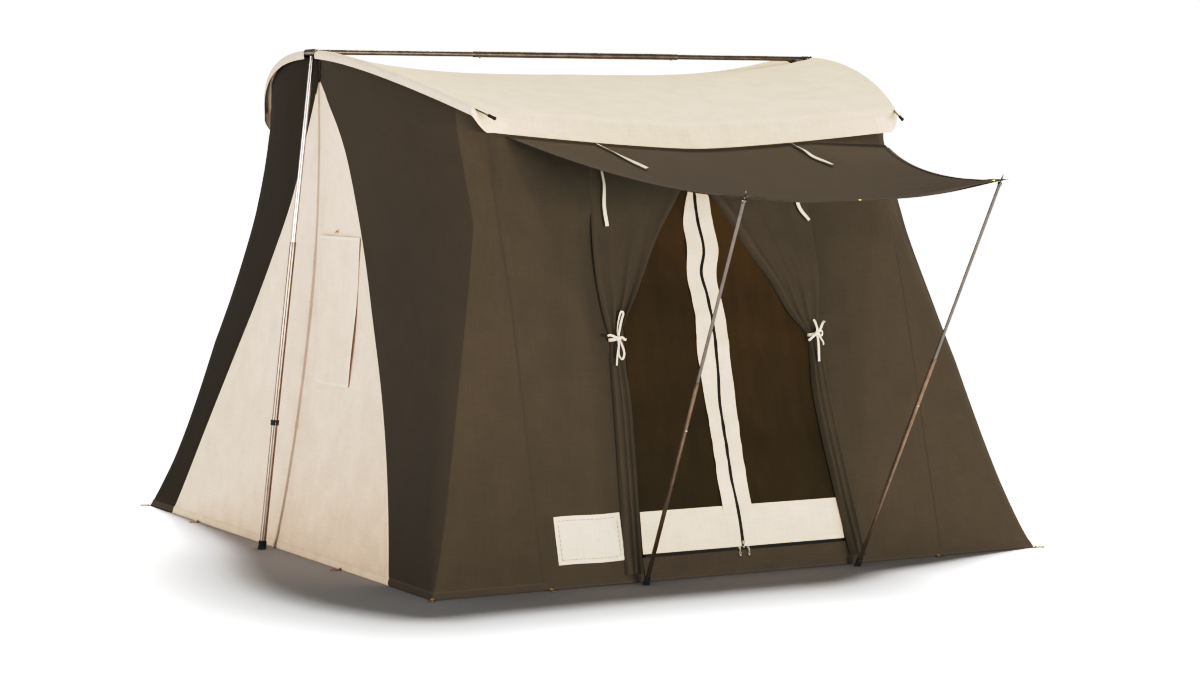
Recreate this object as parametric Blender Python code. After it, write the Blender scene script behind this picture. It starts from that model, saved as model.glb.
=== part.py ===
"""Canvas wall tent: outside pole frame, sprung roof corners, sewn canvas body,
screened front door and a porch awning on two poles.

Frame: origin at the middle of the floor's underside, +X along the ridge
(to the right when facing the door), -Y towards the door, +Z up.  Metres.
"""
import math

import bmesh
import bpy
import numpy as np
from mathutils import Matrix, Vector

# ------------------------------------------------------------ driving sizes
RIDGE_Z = 2.030          # axis of the ridge pole above the ground
HEM_X = 1.371            # half width of the floor line
HEM_Y = 1.487            # half depth of the floor line
T_X = 1.196              # ridge tee, half span
BAR_X = 0.970            # where a bow rod leaves its sleeve
BAR_Y = 1.031
BAR_Z = 1.797
BAR_R = 0.004            # bow rod radius
BAR_STEPS = (0, 0.045, 0.1, 0.22, 0.36, 0.5, 0.64, 0.78, 0.9, 1.0)
BAR_OUT_FRONT = 0.105    # bar standing out of the sleeve, front and rear
BAR_OUT_REAR = 0.030
RIDGE_R = 0.011          # end tubes of the ridge
RIDGE_CENTER_R = 0.0135  # middle tube of the ridge
RIDGE_JOINT_L = -0.459   # where the middle tube ends
RIDGE_JOINT_R = 0.5355
TEE_R = 0.012
TEE_HALF = 0.055
PIN_DROP = 0.032         # upright's pin below the ridge axis
FOOT_X = 1.431           # upright foot
UP_UPPER_R = 0.010
UP_LOWER_R = 0.013
UP_JOINT_Z = 1.255
UP_COLLAR_Z = 0.517
CLOTH = 0.004            # thickness that stands for canvas
SEAM_GAP = 0.0030
PANEL_SEAM_X = 0.900     # front and rear seams beside the corner panels
GABLE_APEX_Z = 1.920     # top of the light side panel
GABLE_HEM_FRONT = 1.095
GABLE_HEM_REAR = 1.200
DOOR_MID_X = -0.022      # zip at the sill
DOOR_ZIP_LEAN = -0.010   # zip's lean, metres of x per metre of height
DOOR_BOT_Z = 0.090
DOOR_TOP_Z = 1.560
DOOR_LEFT_X = -0.475
DOOR_RIGHT_X = 0.455
DOOR_LEFT_TOP_X = -0.400   # upper corners of the door opening, under the flaps
DOOR_RIGHT_TOP_X = 0.375
AWN_HINGE_Y = -1.072
AWN_HINGE_Z = 1.662
AWN_REAR_L = 0.845
AWN_REAR_R = 0.905
AWN_CORNER_X = 0.5555
AWN_CORNER_Y = -2.320
AWN_CORNER_Z_L = 1.483
AWN_CORNER_Z_R = 1.532
AWN_FOOT_Y = -1.542
AWN_FOOT_X_L = -0.503
AWN_FOOT_X_R = 0.4595
AWN_UPPER_R = 0.0065
AWN_LOWER_R = 0.0082
RING_WIRE = 0.002

# ------------------------------------------------------------ colours
CANVAS_BROWN = (0.088, 0.068, 0.046, 1.0)
CANVAS_CREAM = (0.80, 0.73, 0.63, 1.0)
MESH_BROWN = (0.035, 0.024, 0.013, 1.0)
STEEL = (0.52, 0.50, 0.48, 1.0)
BLACK = (0.012, 0.012, 0.013, 1.0)
BRASS = (0.62, 0.45, 0.22, 1.0)
FLOOR_GREY = (0.16, 0.16, 0.15, 1.0)


def material(name, color, roughness, metallic=0.0):
    mat = bpy.data.materials.new(name)
    mat.use_nodes = True
    bsdf = mat.node_tree.nodes["Principled BSDF"]
    bsdf.inputs["Base Color"].default_value = color
    bsdf.inputs["Roughness"].default_value = roughness
    bsdf.inputs["Metallic"].default_value = metallic
    mat.diffuse_color = color
    return mat


def finish(name, bm, color, roughness, metallic=0.0, origin=None, smooth=True):
    """Turn a bmesh into a named object whose origin is at `origin`."""
    bmesh.ops.triangulate(bm, faces=[f for f in bm.faces if len(f.verts) > 3])
    bmesh.ops.recalc_face_normals(bm, faces=bm.faces)
    if bm.calc_volume(signed=True) < 0:
        bmesh.ops.reverse_faces(bm, faces=bm.faces)
    origin = Vector(origin) if origin is not None else Vector((0, 0, 0))
    bmesh.ops.translate(bm, verts=bm.verts, vec=-origin)
    mesh = bpy.data.meshes.new(name)
    bm.to_mesh(mesh)
    bm.free()
    if smooth:
        mesh.shade_smooth()
        mesh.set_sharp_from_angle(angle=math.radians(35))
    obj = bpy.data.objects.new(name, mesh)
    obj.location = origin
    bpy.context.scene.collection.objects.link(obj)
    obj.data.materials.append(material(name, color, roughness, metallic))
    return obj


# ------------------------------------------------------------ shape makers
def grid_normals(pts, mask):
    """Normals of a grid of points from the neighbours that exist."""
    rows, cols = pts.shape[:2]
    used = np.zeros((rows, cols), bool)
    for i in range(rows - 1):
        for j in range(cols - 1):
            if mask[i][j]:
                used[i:i + 2, j:j + 2] = True
    normals = np.zeros_like(pts)
    for i in range(rows):
        for j in range(cols):
            if not used[i, j]:
                continue
            total = np.zeros(3)
            for di, dj in ((0, 0), (0, -1), (-1, 0), (-1, -1)):
                a, b = i + di, j + dj
                if 0 <= a < rows - 1 and 0 <= b < cols - 1 and mask[a][b]:
                    d1 = pts[a + 1, b + 1] - pts[a, b]
                    d2 = pts[a + 1, b] - pts[a, b + 1]
                    n = np.cross(d1, d2)
                    length = np.linalg.norm(n)
                    if length > 1e-12:
                        total += n / length
            length = np.linalg.norm(total)
            normals[i, j] = total / length if length > 1e-9 else (0, 0, 1)
    return normals, used


def cloth_sheet(name, pts, inward, color, roughness=0.9, mask=None, thick=CLOTH,
                origin=None):
    """A closed thin solid: `pts` is its outer face, `inward` a vector that
    points roughly to its inner face (or a point to turn towards)."""
    pts = np.array(pts, float)
    rows, cols = pts.shape[:2]
    if mask is None:
        mask = np.ones((rows - 1, cols - 1), bool)
    normals, used = grid_normals(pts, mask)
    toward = np.array(inward, float)
    score = 0.0
    for i in range(rows):
        for j in range(cols):
            if used[i, j]:
                score += float(normals[i, j] @ toward)
    if score < 0:
        normals = -normals
    bm = bmesh.new()
    outer, inner = {}, {}
    for i in range(rows):
        for j in range(cols):
            if used[i, j]:
                outer[i, j] = bm.verts.new(pts[i, j])
                p = pts[i, j] + normals[i, j] * thick
                inner[i, j] = bm.verts.new((p[0], p[1], max(p[2], 0.0)))
    edges = {}
    for i in range(rows - 1):
        for j in range(cols - 1):
            if not mask[i][j]:
                continue
            a, b, c, d = (i, j), (i, j + 1), (i + 1, j + 1), (i + 1, j)
            bm.faces.new((outer[a], outer[b], outer[c]))
            bm.faces.new((outer[a], outer[c], outer[d]))
            bm.faces.new((inner[a], inner[c], inner[b]))
            bm.faces.new((inner[a], inner[d], inner[c]))
            for e in ((a, b), (b, c), (c, d), (d, a)):
                if (e[1], e[0]) in edges:
                    del edges[(e[1], e[0])]
                else:
                    edges[e] = True
    for a, b in edges:
        bm.faces.new((outer[b], outer[a], inner[a]))
        bm.faces.new((outer[b], inner[a], inner[b]))
    return finish(name, bm, color, roughness, origin=origin)


def axis_frame(direction):
    d = Vector(direction).normalized()
    side = Vector((0, 1, 0)) if abs(d.y) < 0.9 else Vector((1, 0, 0))
    u = (side - d * side.dot(d)).normalized()
    v = d.cross(u)
    return d, u, v


def revolve(name, base, direction, profile, color, roughness, metallic=0.0,
            n=12, origin=None, make=True):
    """Turn a profile [(radius, distance), ...] about an axis.  The profile is
    an open chain from axis to axis, or a closed loop when it has no zero."""
    base = Vector(base)
    d, u, v = axis_frame(direction)
    bm = bmesh.new()
    rings = []
    for radius, dist in profile:
        c = base + d * dist
        if radius <= 0:
            rings.append([bm.verts.new(c)])
        else:
            rings.append([bm.verts.new(c + u * radius * math.cos(2 * math.pi * k / n)
                                       + v * radius * math.sin(2 * math.pi * k / n))
                          for k in range(n)])
    closed = profile[0][0] > 0
    count = len(rings) if closed else len(rings) - 1
    for i in range(count):
        a, b = rings[i], rings[(i + 1) % len(rings)]
        for k in range(n):
            m = (k + 1) % n
            if len(a) == 1:
                bm.faces.new((a[0], b[k], b[m]))
            elif len(b) == 1:
                bm.faces.new((a[k], b[0], a[m]))
            else:
                bm.faces.new((a[k], b[k], b[m], a[m]))
    if not make:
        return bm
    return finish(name, bm, color, roughness, metallic, origin=origin)


def tube(name, p0, p1, r_out, r_in, color, roughness, metallic=0.0, n=12,
         origin=None):
    """A straight tube, open at both ends."""
    length = (Vector(p1) - Vector(p0)).length
    prof = [(r_out, 0), (r_out, length), (r_in, length), (r_in, 0)]
    return revolve(name, p0, Vector(p1) - Vector(p0), prof, color, roughness,
                   metallic, n, origin)


def sweep(name, path, radius, color, roughness, metallic=0.0, n=8, closed=False,
          flat=(1.0, 1.0), origin=None):
    """A wire of round section along a path of points."""
    pts = [Vector(p) for p in path]
    count = len(pts)
    tangents = []
    for i in range(count):
        if closed:
            t = pts[(i + 1) % count] - pts[i - 1]
        else:
            t = pts[min(i + 1, count - 1)] - pts[max(i - 1, 0)]
        tangents.append(t.normalized())
    d, u, _ = axis_frame(tangents[0])
    bm = bmesh.new()
    rings = []
    for i in range(count):
        t = tangents[i]
        u = (u - t * u.dot(t)).normalized()
        w = t.cross(u)
        rings.append([bm.verts.new(pts[i] + u * radius * flat[0] * math.cos(2 * math.pi * k / n)
                                   + w * radius * flat[1] * math.sin(2 * math.pi * k / n))
                      for k in range(n)])
    steps = count if closed else count - 1
    for i in range(steps):
        a, b = rings[i], rings[(i + 1) % count]
        for k in range(n):
            m = (k + 1) % n
            bm.faces.new((a[k], b[k], b[m], a[m]))
    if not closed:
        bm.faces.new(list(reversed(rings[0])))
        bm.faces.new(rings[-1])
    return finish(name, bm, color, roughness, metallic, origin=origin)


def box_bm(center, size, rot=None):
    bm = bmesh.new()
    bmesh.ops.create_cube(bm, size=1.0)
    mat = Matrix.Diagonal(Vector(size).to_4d())
    if rot is not None:
        mat = rot.to_4x4() @ mat
    bmesh.ops.transform(bm, matrix=Matrix.Translation(Vector(center)) @ mat,
                        verts=bm.verts)
    return bm


def helper(name, bm):
    """A cutter or a joined shape used by a Boolean; not part of the tent."""
    bmesh.ops.recalc_face_normals(bm, faces=bm.faces)
    mesh = bpy.data.meshes.new(name)
    bm.to_mesh(mesh)
    bm.free()
    obj = bpy.data.objects.new(name, mesh)
    bpy.context.scene.collection.objects.link(obj)
    obj.hide_render = True
    obj.display_type = "WIRE"
    return obj


def boolean(obj, other, operation):
    mod = obj.modifiers.new(operation.lower() + "_" + other.name, "BOOLEAN")
    mod.operation = operation
    mod.solver = "EXACT"
    mod.object = other


# ------------------------------------------------------------ canvas surfaces
def bow_x(s, end=-1):
    """Bow rod's distance from the middle plane, s from ridge to eave."""
    return T_X - (T_X - BAR_X) * s ** (1.9 if end < 0 else 2.05)


def bow_z(s, end=-1):
    return RIDGE_Z - (RIDGE_Z - BAR_Z) * s ** (1.68 if end < 0 else 2.1)


def side_point(w, h, end=-1):
    """Side wall, quarter with x > 0 and depth counted positive.  w runs from
    the middle of the gable to the corner, h from the hem to the roof."""
    near = math.exp(-((w * BAR_Y) / 0.09) ** 2)
    top = np.array((bow_x(w, end) - 0.012 - 0.018 * near, 1.029 * w,
                    bow_z(w, end) - 0.010 - 0.026 * near))
    hem = np.array((HEM_X, HEM_Y * w, 0.0))
    belly = 4 * h * (1 - h)
    slack_x, slack_y = (0.010, 0.006) if end < 0 else (0.020, 0.012)
    pull = np.array(((0.070 - (0.070 - slack_x) * w ** 4) * belly,
                     slack_y * w ** 4 * belly, 0))
    return hem * (1 - h) + top * h - pull


def front_point(u, h, end=-1):
    """Front or rear wall, u from the middle to the corner."""
    top = np.array((0.958 * u, 1.029 + 0.010 * (1 - u * u), 1.700 + 0.087 * u * u))
    hem = np.array((HEM_X * u, HEM_Y, 0.0))
    belly = 4 * h * (1 - h)
    slack_x, slack_y = (0.010, 0.006) if end < 0 else (0.020, 0.012)
    pull = np.array((slack_x * u ** 4 * belly, slack_y * u ** 4 * belly, 0))
    return hem * (1 - h) + top * h - pull


def corner_arm(h, end=-1):
    """How far the rounding of the corner reaches at height fraction h."""
    arm = 0.25 * (1 - math.exp(-h / 0.08)) * (0.6 + 0.4 * h)
    arm += (0.09 if end < 0 else 0.19) * min(1.0, max(0.0, (h - 0.42) / 0.3))
    if h > 0.85:
        arm += ((0.16 if end < 0 else 0.28) - arm) * ((h - 0.85) / 0.15) ** 2
    return arm


def wall_row(h, count=60, end=-1):
    """The wall at height fraction h: from mid front round to mid gable."""
    arm = corner_arm(h, end)
    front_len = HEM_X * (1 - h) + 0.958 * h
    side_len = HEM_Y * (1 - h) + 1.029 * h
    ua, wa = 1 - arm / front_len, 1 - arm / side_len
    pts = [front_point(ua * k / count, h, end) for k in range(count)]
    p0, pc, p1 = front_point(ua, h, end), front_point(1, h, end), side_point(wa, h, end)
    if arm < 1e-5:
        pts.append(pc)
    else:
        for k in range(13):
            t = k / 12
            pts.append(p0 * (1 - t) ** 2 + pc * 2 * t * (1 - t) + p1 * t * t)
    pts += [side_point(wa * (1 - k / count), h, end) for k in range(1, count + 1)]
    pts = np.array(pts)
    step = np.linalg.norm(np.diff(pts, axis=0), axis=1)
    return pts, np.concatenate(([0.0], np.cumsum(step)))


def at_length(row, lengths, where):
    return np.array([np.interp(where, lengths, row[:, k]) for k in range(3)]).T


# How far the gable seams bow away from a straight line: share of the
# apex height, and metres along the wall.
SEAM_SHIFT_FRONT = ((0, 0.5, 0.6, 0.7, 0.8, 0.88, 0.95, 1),
                    (0.010, 0.020, 0.045, 0.066, 0.088, 0.098, 0.055, 0))
SEAM_SHIFT_REAR = ((0, 0.1, 0.2, 0.3, 0.4, 0.5, 0.6, 0.66, 0.72, 0.8, 0.9, 1),
                   (0, 0.045, 0.085, 0.103, 0.098, 0.062, 0.022, -0.008,
                    -0.045, -0.050, -0.030, 0))


def seam_lengths(h, end=-1):
    """Arc lengths at which the front seam and the gable seam cross a row."""
    hem_side = GABLE_HEM_FRONT if end < 0 else GABLE_HEM_REAR
    row, lengths = wall_row(h, end=end)
    front = np.interp(PANEL_SEAM_X, row[:70, 0], lengths[:70])
    t = row[:, 2] / GABLE_APEX_Z
    at, shift = SEAM_SHIFT_FRONT if end < 0 else SEAM_SHIFT_REAR
    gap = row[:, 1] - hem_side * (1 - t) - np.interp(t, at, shift)
    side = lengths[-1]
    for k in range(len(row) - 1, 0, -1):
        if gap[k] < 0 <= gap[k - 1]:
            f = gap[k] / (gap[k] - gap[k - 1])
            side = lengths[k] + (lengths[k - 1] - lengths[k]) * f
            break
    return row, lengths, front, side


def apex_fraction():
    return GABLE_APEX_Z / side_point(0, 1)[2]


H_ROWS = [0.0, 0.035, 0.10, 0.22, 0.36, 0.52, 0.68, 0.82, 0.91]


def gable_panel(name, side):
    rows = []
    h_list = H_ROWS + [apex_fraction() - 0.012]
    for h in h_list:
        line = []
        for end in (-1, 1):
            row, lengths, _, seam = seam_lengths(h, end)
            total = lengths[-1]
            start = seam + SEAM_GAP * 0.5
            n = 4
            for k in range(n + 1):
                f = k / n if end < 0 else 1 - k / n
                if end > 0 and k == 0:
                    continue
                p = at_length(row, lengths, start + (total - start) * f)
                line.append((side * p[0], end * p[1], p[2]))
        rows.append(line)
    return cloth_sheet(name, rows, (-side, 0, 0), CANVAS_CREAM, 0.9)


def corner_panel(name, side, end):
    fractions = [0, 0.07, 0.2, 0.36, 0.46, 0.54, 0.62, 0.74, 0.87, 1.0]
    rows = []
    for h in H_ROWS + [apex_fraction(), 1.0]:
        row, lengths, front, seam = seam_lengths(h, end)
        a = front + SEAM_GAP
        b = seam - SEAM_GAP * 0.5
        rows.append([])
        for f in fractions:
            p = at_length(row, lengths, a + (b - a) * f)
            rows[-1].append((side * p[0], end * p[1], p[2]))
    return cloth_sheet(name, rows, (-side, -end, 0), CANVAS_BROWN, 0.9)


def end_point(x, z):
    """Front or rear wall's outer face at x and height z (depth positive)."""
    h, u = 0.5, 0.5
    for _ in range(40):
        u = abs(x) / (HEM_X * (1 - h) + 0.958 * h)
        h = z / (1.700 + 0.087 * u * u)
    return front_point(u, h)[1]


def end_row_x(h, share, end=-1):
    """Point on the row at height fraction h, share of the way to the seam."""
    row, lengths, front, _ = seam_lengths(h, end)
    return at_length(row, lengths, (front - SEAM_GAP * 0.5) * share)


def rear_wall():
    rows = []
    for h in (0.0, 0.12, 0.3, 0.5, 0.7, 0.86, 1.0):
        line = []
        for k in range(-4, 5):
            p = end_row_x(h, abs(k) / 4, 1)
            line.append((math.copysign(p[0], k) if k else 0.0, p[1], p[2]))
        rows.append(line)
    return cloth_sheet("rear_wall", rows, (0, -1, 0), CANVAS_BROWN, 0.9)


def door_left(z):
    f = (z - DOOR_BOT_Z) / (DOOR_TOP_Z - DOOR_BOT_Z)
    f = min(1.0, max(0.0, f))
    return DOOR_LEFT_X + (DOOR_LEFT_TOP_X - DOOR_LEFT_X) * f


def door_right(z):
    f = (z - DOOR_BOT_Z) / (DOOR_TOP_Z - DOOR_BOT_Z)
    f = min(1.0, max(0.0, f))
    return DOOR_RIGHT_X + (DOOR_RIGHT_TOP_X - DOOR_RIGHT_X) * f


def zip_x(z):
    return DOOR_MID_X + DOOR_ZIP_LEAN * z


def front_wall():
    """Front panel between the corner seams, open at the door."""
    zs = [0.0, DOOR_BOT_Z, 0.45, 0.80, 1.15, DOOR_TOP_Z]
    rows, mask = [], []
    for z in zs + [None]:
        line = []
        if z is None:
            outer = end_row_x(1.0, 1.0)
            xs = np.concatenate((np.linspace(-outer[0], door_left(2), 5),
                                 np.linspace(door_left(2), door_right(2), 6)[1:-1],
                                 np.linspace(door_right(2), outer[0], 5)))
            for x in xs:
                u = abs(x) / 0.958
                if abs(x) >= outer[0] - 1e-6:
                    line.append((x, -outer[1], outer[2]))
                else:
                    row, lengths, _, _ = seam_lengths(1.0)
                    k = np.interp(abs(x), row[:70, 0], lengths[:70])
                    p = at_length(row, lengths, k)
                    line.append((x, -p[1], p[2]))
        else:
            # the seam edge at this height
            h = z / 1.78
            for _ in range(30):
                p = end_row_x(h, 1.0)
                h += (z - p[2]) / 1.78
            outer = end_row_x(h, 1.0)
            xs = np.concatenate((np.linspace(-outer[0], door_left(z), 5),
                                 np.linspace(door_left(z), door_right(z), 6)[1:-1],
                                 np.linspace(door_right(z), outer[0], 5)))
            for x in xs:
                if abs(x) >= outer[0] - 1e-6:
                    line.append((x, -outer[1], outer[2]))
                else:
                    line.append((x, -end_point(x, z), z))
        rows.append(line)
    for i in range(len(rows) - 1):
        mask.append([True] * 4 + [i >= len(zs) - 1] * 5 + [True] * 4)
    return cloth_sheet("front_wall", rows, (0, 1, 0), CANVAS_BROWN, 0.9, mask=mask)


# ------------------------------------------------------------ roof
ROOF_LIFT = 0.0105        # roof cloth above the bow rod's axis
ROOF_SAG_MID = 0.090
ROOF_SAG_END = 0.068
FASCIA = ((0.012, 0.012), (0.024, 0.036), (0.032, 0.066), (0.038, 0.096))


def roof_sag(u, s):
    """Drop of the roof cloth below its edges, u across, s from ridge to eave."""
    depth = ROOF_SAG_MID + (ROOF_SAG_END - ROOF_SAG_MID) * s * s
    power = 3.4 - 2.1 * s ** 1.2
    return depth * (1 - (u * u + 0.004) ** (power / 2)) / (1 - 0.004 ** (power / 2))


def roof_point(u, v):
    """u across (-1..1 between the bars), v from front (-1) to rear (1)."""
    s, end = abs(v), (-1 if v < 0 else 1)
    y = BAR_Y * v
    near = math.exp(-(y / 0.045) ** 2)
    z_edge = bow_z(s, end) + ROOF_LIFT - 0.024 * near
    z = z_edge - roof_sag(u, s) + 0.018 * near * max(0.0, 1 - abs(u) ** 3)
    return np.array((bow_x(s, end) * u, y, z))


def roof_canvas():
    us = [-0.93, -0.80, -0.62, -0.38, -0.13, 0.13, 0.38, 0.62, 0.80, 0.93]
    vs = [-s for s in reversed(BAR_STEPS[1:])] + list(BAR_STEPS)
    rows = []
    # front fascia, from its hem up
    for dy, dz in reversed(FASCIA):
        rows.append(("f", -1, dy, dz))
    for v in vs:
        rows.append(("m", v, 0, 0))
    for dy, dz in FASCIA:
        rows.append(("f", 1, dy, dz))
    pts, mask = [], []
    for kind, v, dy, dz in rows:
        # sleeve over the bar: outer drop, outer edge, inner edge; then the roof
        line = []
        s = abs(v)
        near = math.exp(-(BAR_Y * v / 0.045) ** 2)
        end = -1 if v < 0 else 1
        lift = bow_z(s, end) + ROOF_LIFT - 0.024 * near
        low = bow_z(s, end) - 0.028
        tuck = dz * 0.25
        y = BAR_Y * v + (math.copysign(dy, v) if kind == "f" else 0.0)
        outside, inside = bow_x(s, end) + 0.012, bow_x(s, end) - 0.016 - tuck
        left = [(-outside, y, low - dz), (-outside, y, lift - dz), (-inside, y, lift - dz)]
        line += left
        for u in us:
            p = roof_point(u, v)
            line.append((p[0], y, p[2] - dz))
        line += [(-p[0], p[1], p[2]) for p in reversed(left)]
        pts.append(line)
    cols = len(pts[0])
    for i in range(len(rows) - 1):
        ka, va = rows[i][0], rows[i][1]
        kb, vb = rows[i + 1][0], rows[i + 1][1]
        skip = 0
        if "f" in (ka, kb):
            skip = 2
        elif max(abs(va), abs(vb)) < 0.101:
            skip = 3
        mask.append([skip <= j < cols - 1 - skip for j in range(cols - 1)])
    return cloth_sheet("roof_canvas", pts, (0, 0, -1), CANVAS_CREAM, 0.88, mask=mask)


def roof_hem_z(x):
    """Height of the front fascia's lower edge."""
    u = x / BAR_X
    return roof_point(u, -1)[2] - FASCIA[-1][1]


# ------------------------------------------------------------ awning
def awning_point(a, b):
    """a across (-1..1), b from the eave (0) to the front edge (1)."""
    rear_half = AWN_REAR_L if a < 0 else AWN_REAR_R
    half = rear_half + (AWN_CORNER_X - rear_half) * b
    scoop = 0.055 * 4 * b * (1 - b) * a * a
    x = a * (half - scoop)
    y = AWN_HINGE_Y + (AWN_CORNER_Y - AWN_HINGE_Y) * b
    y += 0.055 * (1 - a * a) * b ** 2
    rear = min(roof_hem_z(a * rear_half) - 0.011, 1.700 - 0.024 * (1 + a))
    corner = AWN_CORNER_Z_L + (AWN_CORNER_Z_R - AWN_CORNER_Z_L) * (a + 1) / 2
    z = rear + (corner - rear) * b
    z -= 0.046 * (1 - a * a) * b ** 2
    z -= (0.044 - 0.006 * a + 0.012 * (1 - a * a)) * 4 * b * (1 - b)
    return np.array((x, y, z))


def awning_canvas():
    rows = []
    for b in (0.0, 0.12, 0.3, 0.5, 0.7, 0.86, 0.95, 1.018):
        line = []
        for a in (-1.03, -0.92, -0.66, -0.33, 0, 0.33, 0.66, 0.92, 1.03):
            aa = max(-1.0, min(1.0, a)) if b < 0.9 else a
            line.append(awning_point(aa, b))
        rows.append(line)
    obj = cloth_sheet("awning_canvas", rows, (0, 0, -1), CANVAS_BROWN, 0.9,
                      thick=0.003, origin=(0, AWN_HINGE_Y, AWN_HINGE_Z))
    for side, z in ((-1, AWN_CORNER_Z_L), (1, AWN_CORNER_Z_R)):
        bm = revolve("", (side * AWN_CORNER_X, AWN_CORNER_Y, z - 0.03), (0, 0, 1),
                     [(0, 0), (0.0065, 0), (0.0065, 0.06), (0, 0.06)],
                     BLACK, 1, n=10, make=False)
        boolean(obj, helper("eyelet_%s" % ("l" if side < 0 else "r"), bm), "DIFFERENCE")
    return obj


def awning_pole(tag, side, top, foot):
    """Two section pole: a spiked upper section in a wider lower one."""
    top, foot = Vector(top), Vector(foot)
    down = (foot - top).normalized()
    length = (foot - top).length
    shoulder = 0.0095
    # spike, ball shoulder and tube of the upper section
    profile = [(0, -0.024), (0.0022, -0.022), (0.0030, -0.004), (0.0030, shoulder),
               (0.0078, shoulder + 0.001), (0.0090, shoulder + 0.006),
               (0.0078, shoulder + 0.012), (AWN_UPPER_R, shoulder + 0.014),
               (AWN_UPPER_R, 1.075), (0, 1.075)]
    revolve("awning_pole_%s_upper" % tag, top, down, profile, STEEL, 0.3, 0.9,
            n=12, origin=top)
    joint = top + down * 0.770
    end = foot - down * 0.020
    inner = AWN_LOWER_R - 0.0011
    run = (end - joint).length
    revolve("awning_pole_%s_lower" % tag, joint, down,
            [(0, run), (AWN_LOWER_R, run), (AWN_LOWER_R, 0), (inner, 0),
             (inner, run - 0.01), (0, run - 0.01)], STEEL, 0.3, 0.9, n=12,
            origin=joint)
    pole_foot("awning_pole_%s_foot" % tag, foot, down, 0.0125, AWN_LOWER_R + 0.0004,
              0.034, run_end=0.020)


def pole_foot(name, foot, down, r_out, bore, height, run_end):
    """Rubber foot: a blind cup over the tube, its sole level on the ground."""
    foot = Vector(foot)
    base = foot - down * height
    floor_at = height
    cup = height - run_end + 0.001
    bm = revolve("", base, down,
                 [(0, cup), (bore, cup), (bore, 0), (r_out - 0.0012, 0),
                  (r_out, 0.006), (r_out, floor_at - 0.012),
                  (r_out + 0.001, floor_at), (0, floor_at)], BLACK, 0.7, n=12, make=False)
    for vert in bm.verts:
        along = (vert.co - base).dot(down)
        if along > floor_at - 0.0005:
            vert.co += down * (vert.co.z / -down.z)
    for vert in bm.verts:
        if abs(vert.co.z) < 1e-5:
            vert.co.z = 0.0
    return finish(name, bm, BLACK, 0.75, origin=foot)


# ------------------------------------------------------------ frame
def bar_path(side):
    pts = []
    d = Vector((-0.30 * side, 1, -0.36)).normalized()
    for end, out in ((-1, BAR_OUT_FRONT), (1, BAR_OUT_REAR)):
        tip = [Vector((side * bow_x(s, end), end * BAR_Y * s, bow_z(s, end)))
               for s in reversed(BAR_STEPS)]
        far = Vector((d.x, d.y * end, d.z))
        tip.insert(0, tip[0] + far * (out / abs(far.y)))
        pts.append(tip)
    return pts[0] + list(reversed(pts[1]))[1:]


def bow_rod(tag, side):
    path = bar_path(side)
    return sweep("bow_rod_" + tag, path, BAR_R, STEEL, 0.35, 0.9, n=8)


def bar_cap(tag, side, end):
    path = bar_path(side)
    if end < 0:
        tip, back = path[0], path[1]
    else:
        tip, back = path[-1], path[-2]
    d = (tip - back).normalized()
    length = 0.036 if end < 0 else 0.024
    base = tip - d * (length - 0.006)
    prof = [(0, length - 0.0055), (BAR_R + 0.0004, length - 0.0055), (BAR_R + 0.0004, 0),
            (0.0066, 0), (0.0066, length - 0.004), (0.0074, length - 0.001),
            (0.0066, length + 0.003), (0, length + 0.004)]
    return revolve("bar_cap_" + tag, base, d, prof, BLACK, 0.75, n=10)


def ridge_end(tag, side, joint):
    """End tube of the ridge with its tee and the lug that the upright pins to."""
    inner = joint - side * 0.12
    base = Vector((side * (T_X - 0.004), 0, RIDGE_Z))
    run = abs(base.x - inner)
    tube_bm = revolve("", base, (-side, 0, 0),
                      [(0, 0), (RIDGE_R, 0), (RIDGE_R, run), (RIDGE_R - 0.0015, run),
                       (RIDGE_R - 0.0015, 0.03), (0, 0.03)], STEEL, 0.3, n=12, make=False)
    obj = finish("ridge_end_" + tag, tube_bm, STEEL, 0.32, 0.9)
    tee = revolve("", (side * T_X, -TEE_HALF, RIDGE_Z), (0, 1, 0),
                  [(0, 0), (TEE_R, 0), (TEE_R, 2 * TEE_HALF), (0, 2 * TEE_HALF)],
                  STEEL, 0.3, n=12, make=False)
    boolean(obj, helper("tee_" + tag, tee), "UNION")
    lug = box_bm((side * T_X, 0, RIDGE_Z - 0.026), (0.016, 0.005, 0.034))
    boolean(obj, helper("lug_" + tag, lug), "UNION")
    bore = revolve("", (side * T_X, -TEE_HALF - 0.01, RIDGE_Z), (0, 1, 0),
                   [(0, 0), (0.0062, 0), (0.0062, 2 * TEE_HALF + 0.02), (0, 2 * TEE_HALF + 0.02)],
                   STEEL, 0.3, n=12, make=False)
    boolean(obj, helper("bar_bore_" + tag, bore), "DIFFERENCE")
    eye = revolve("", (side * T_X, -0.01, RIDGE_Z - PIN_DROP), (0, 1, 0),
                  [(0, 0), (0.0037, 0), (0.0037, 0.02), (0, 0.02)],
                  STEEL, 0.3, n=10, make=False)
    boolean(obj, helper("lug_eye_" + tag, eye), "DIFFERENCE")
    return obj


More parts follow.
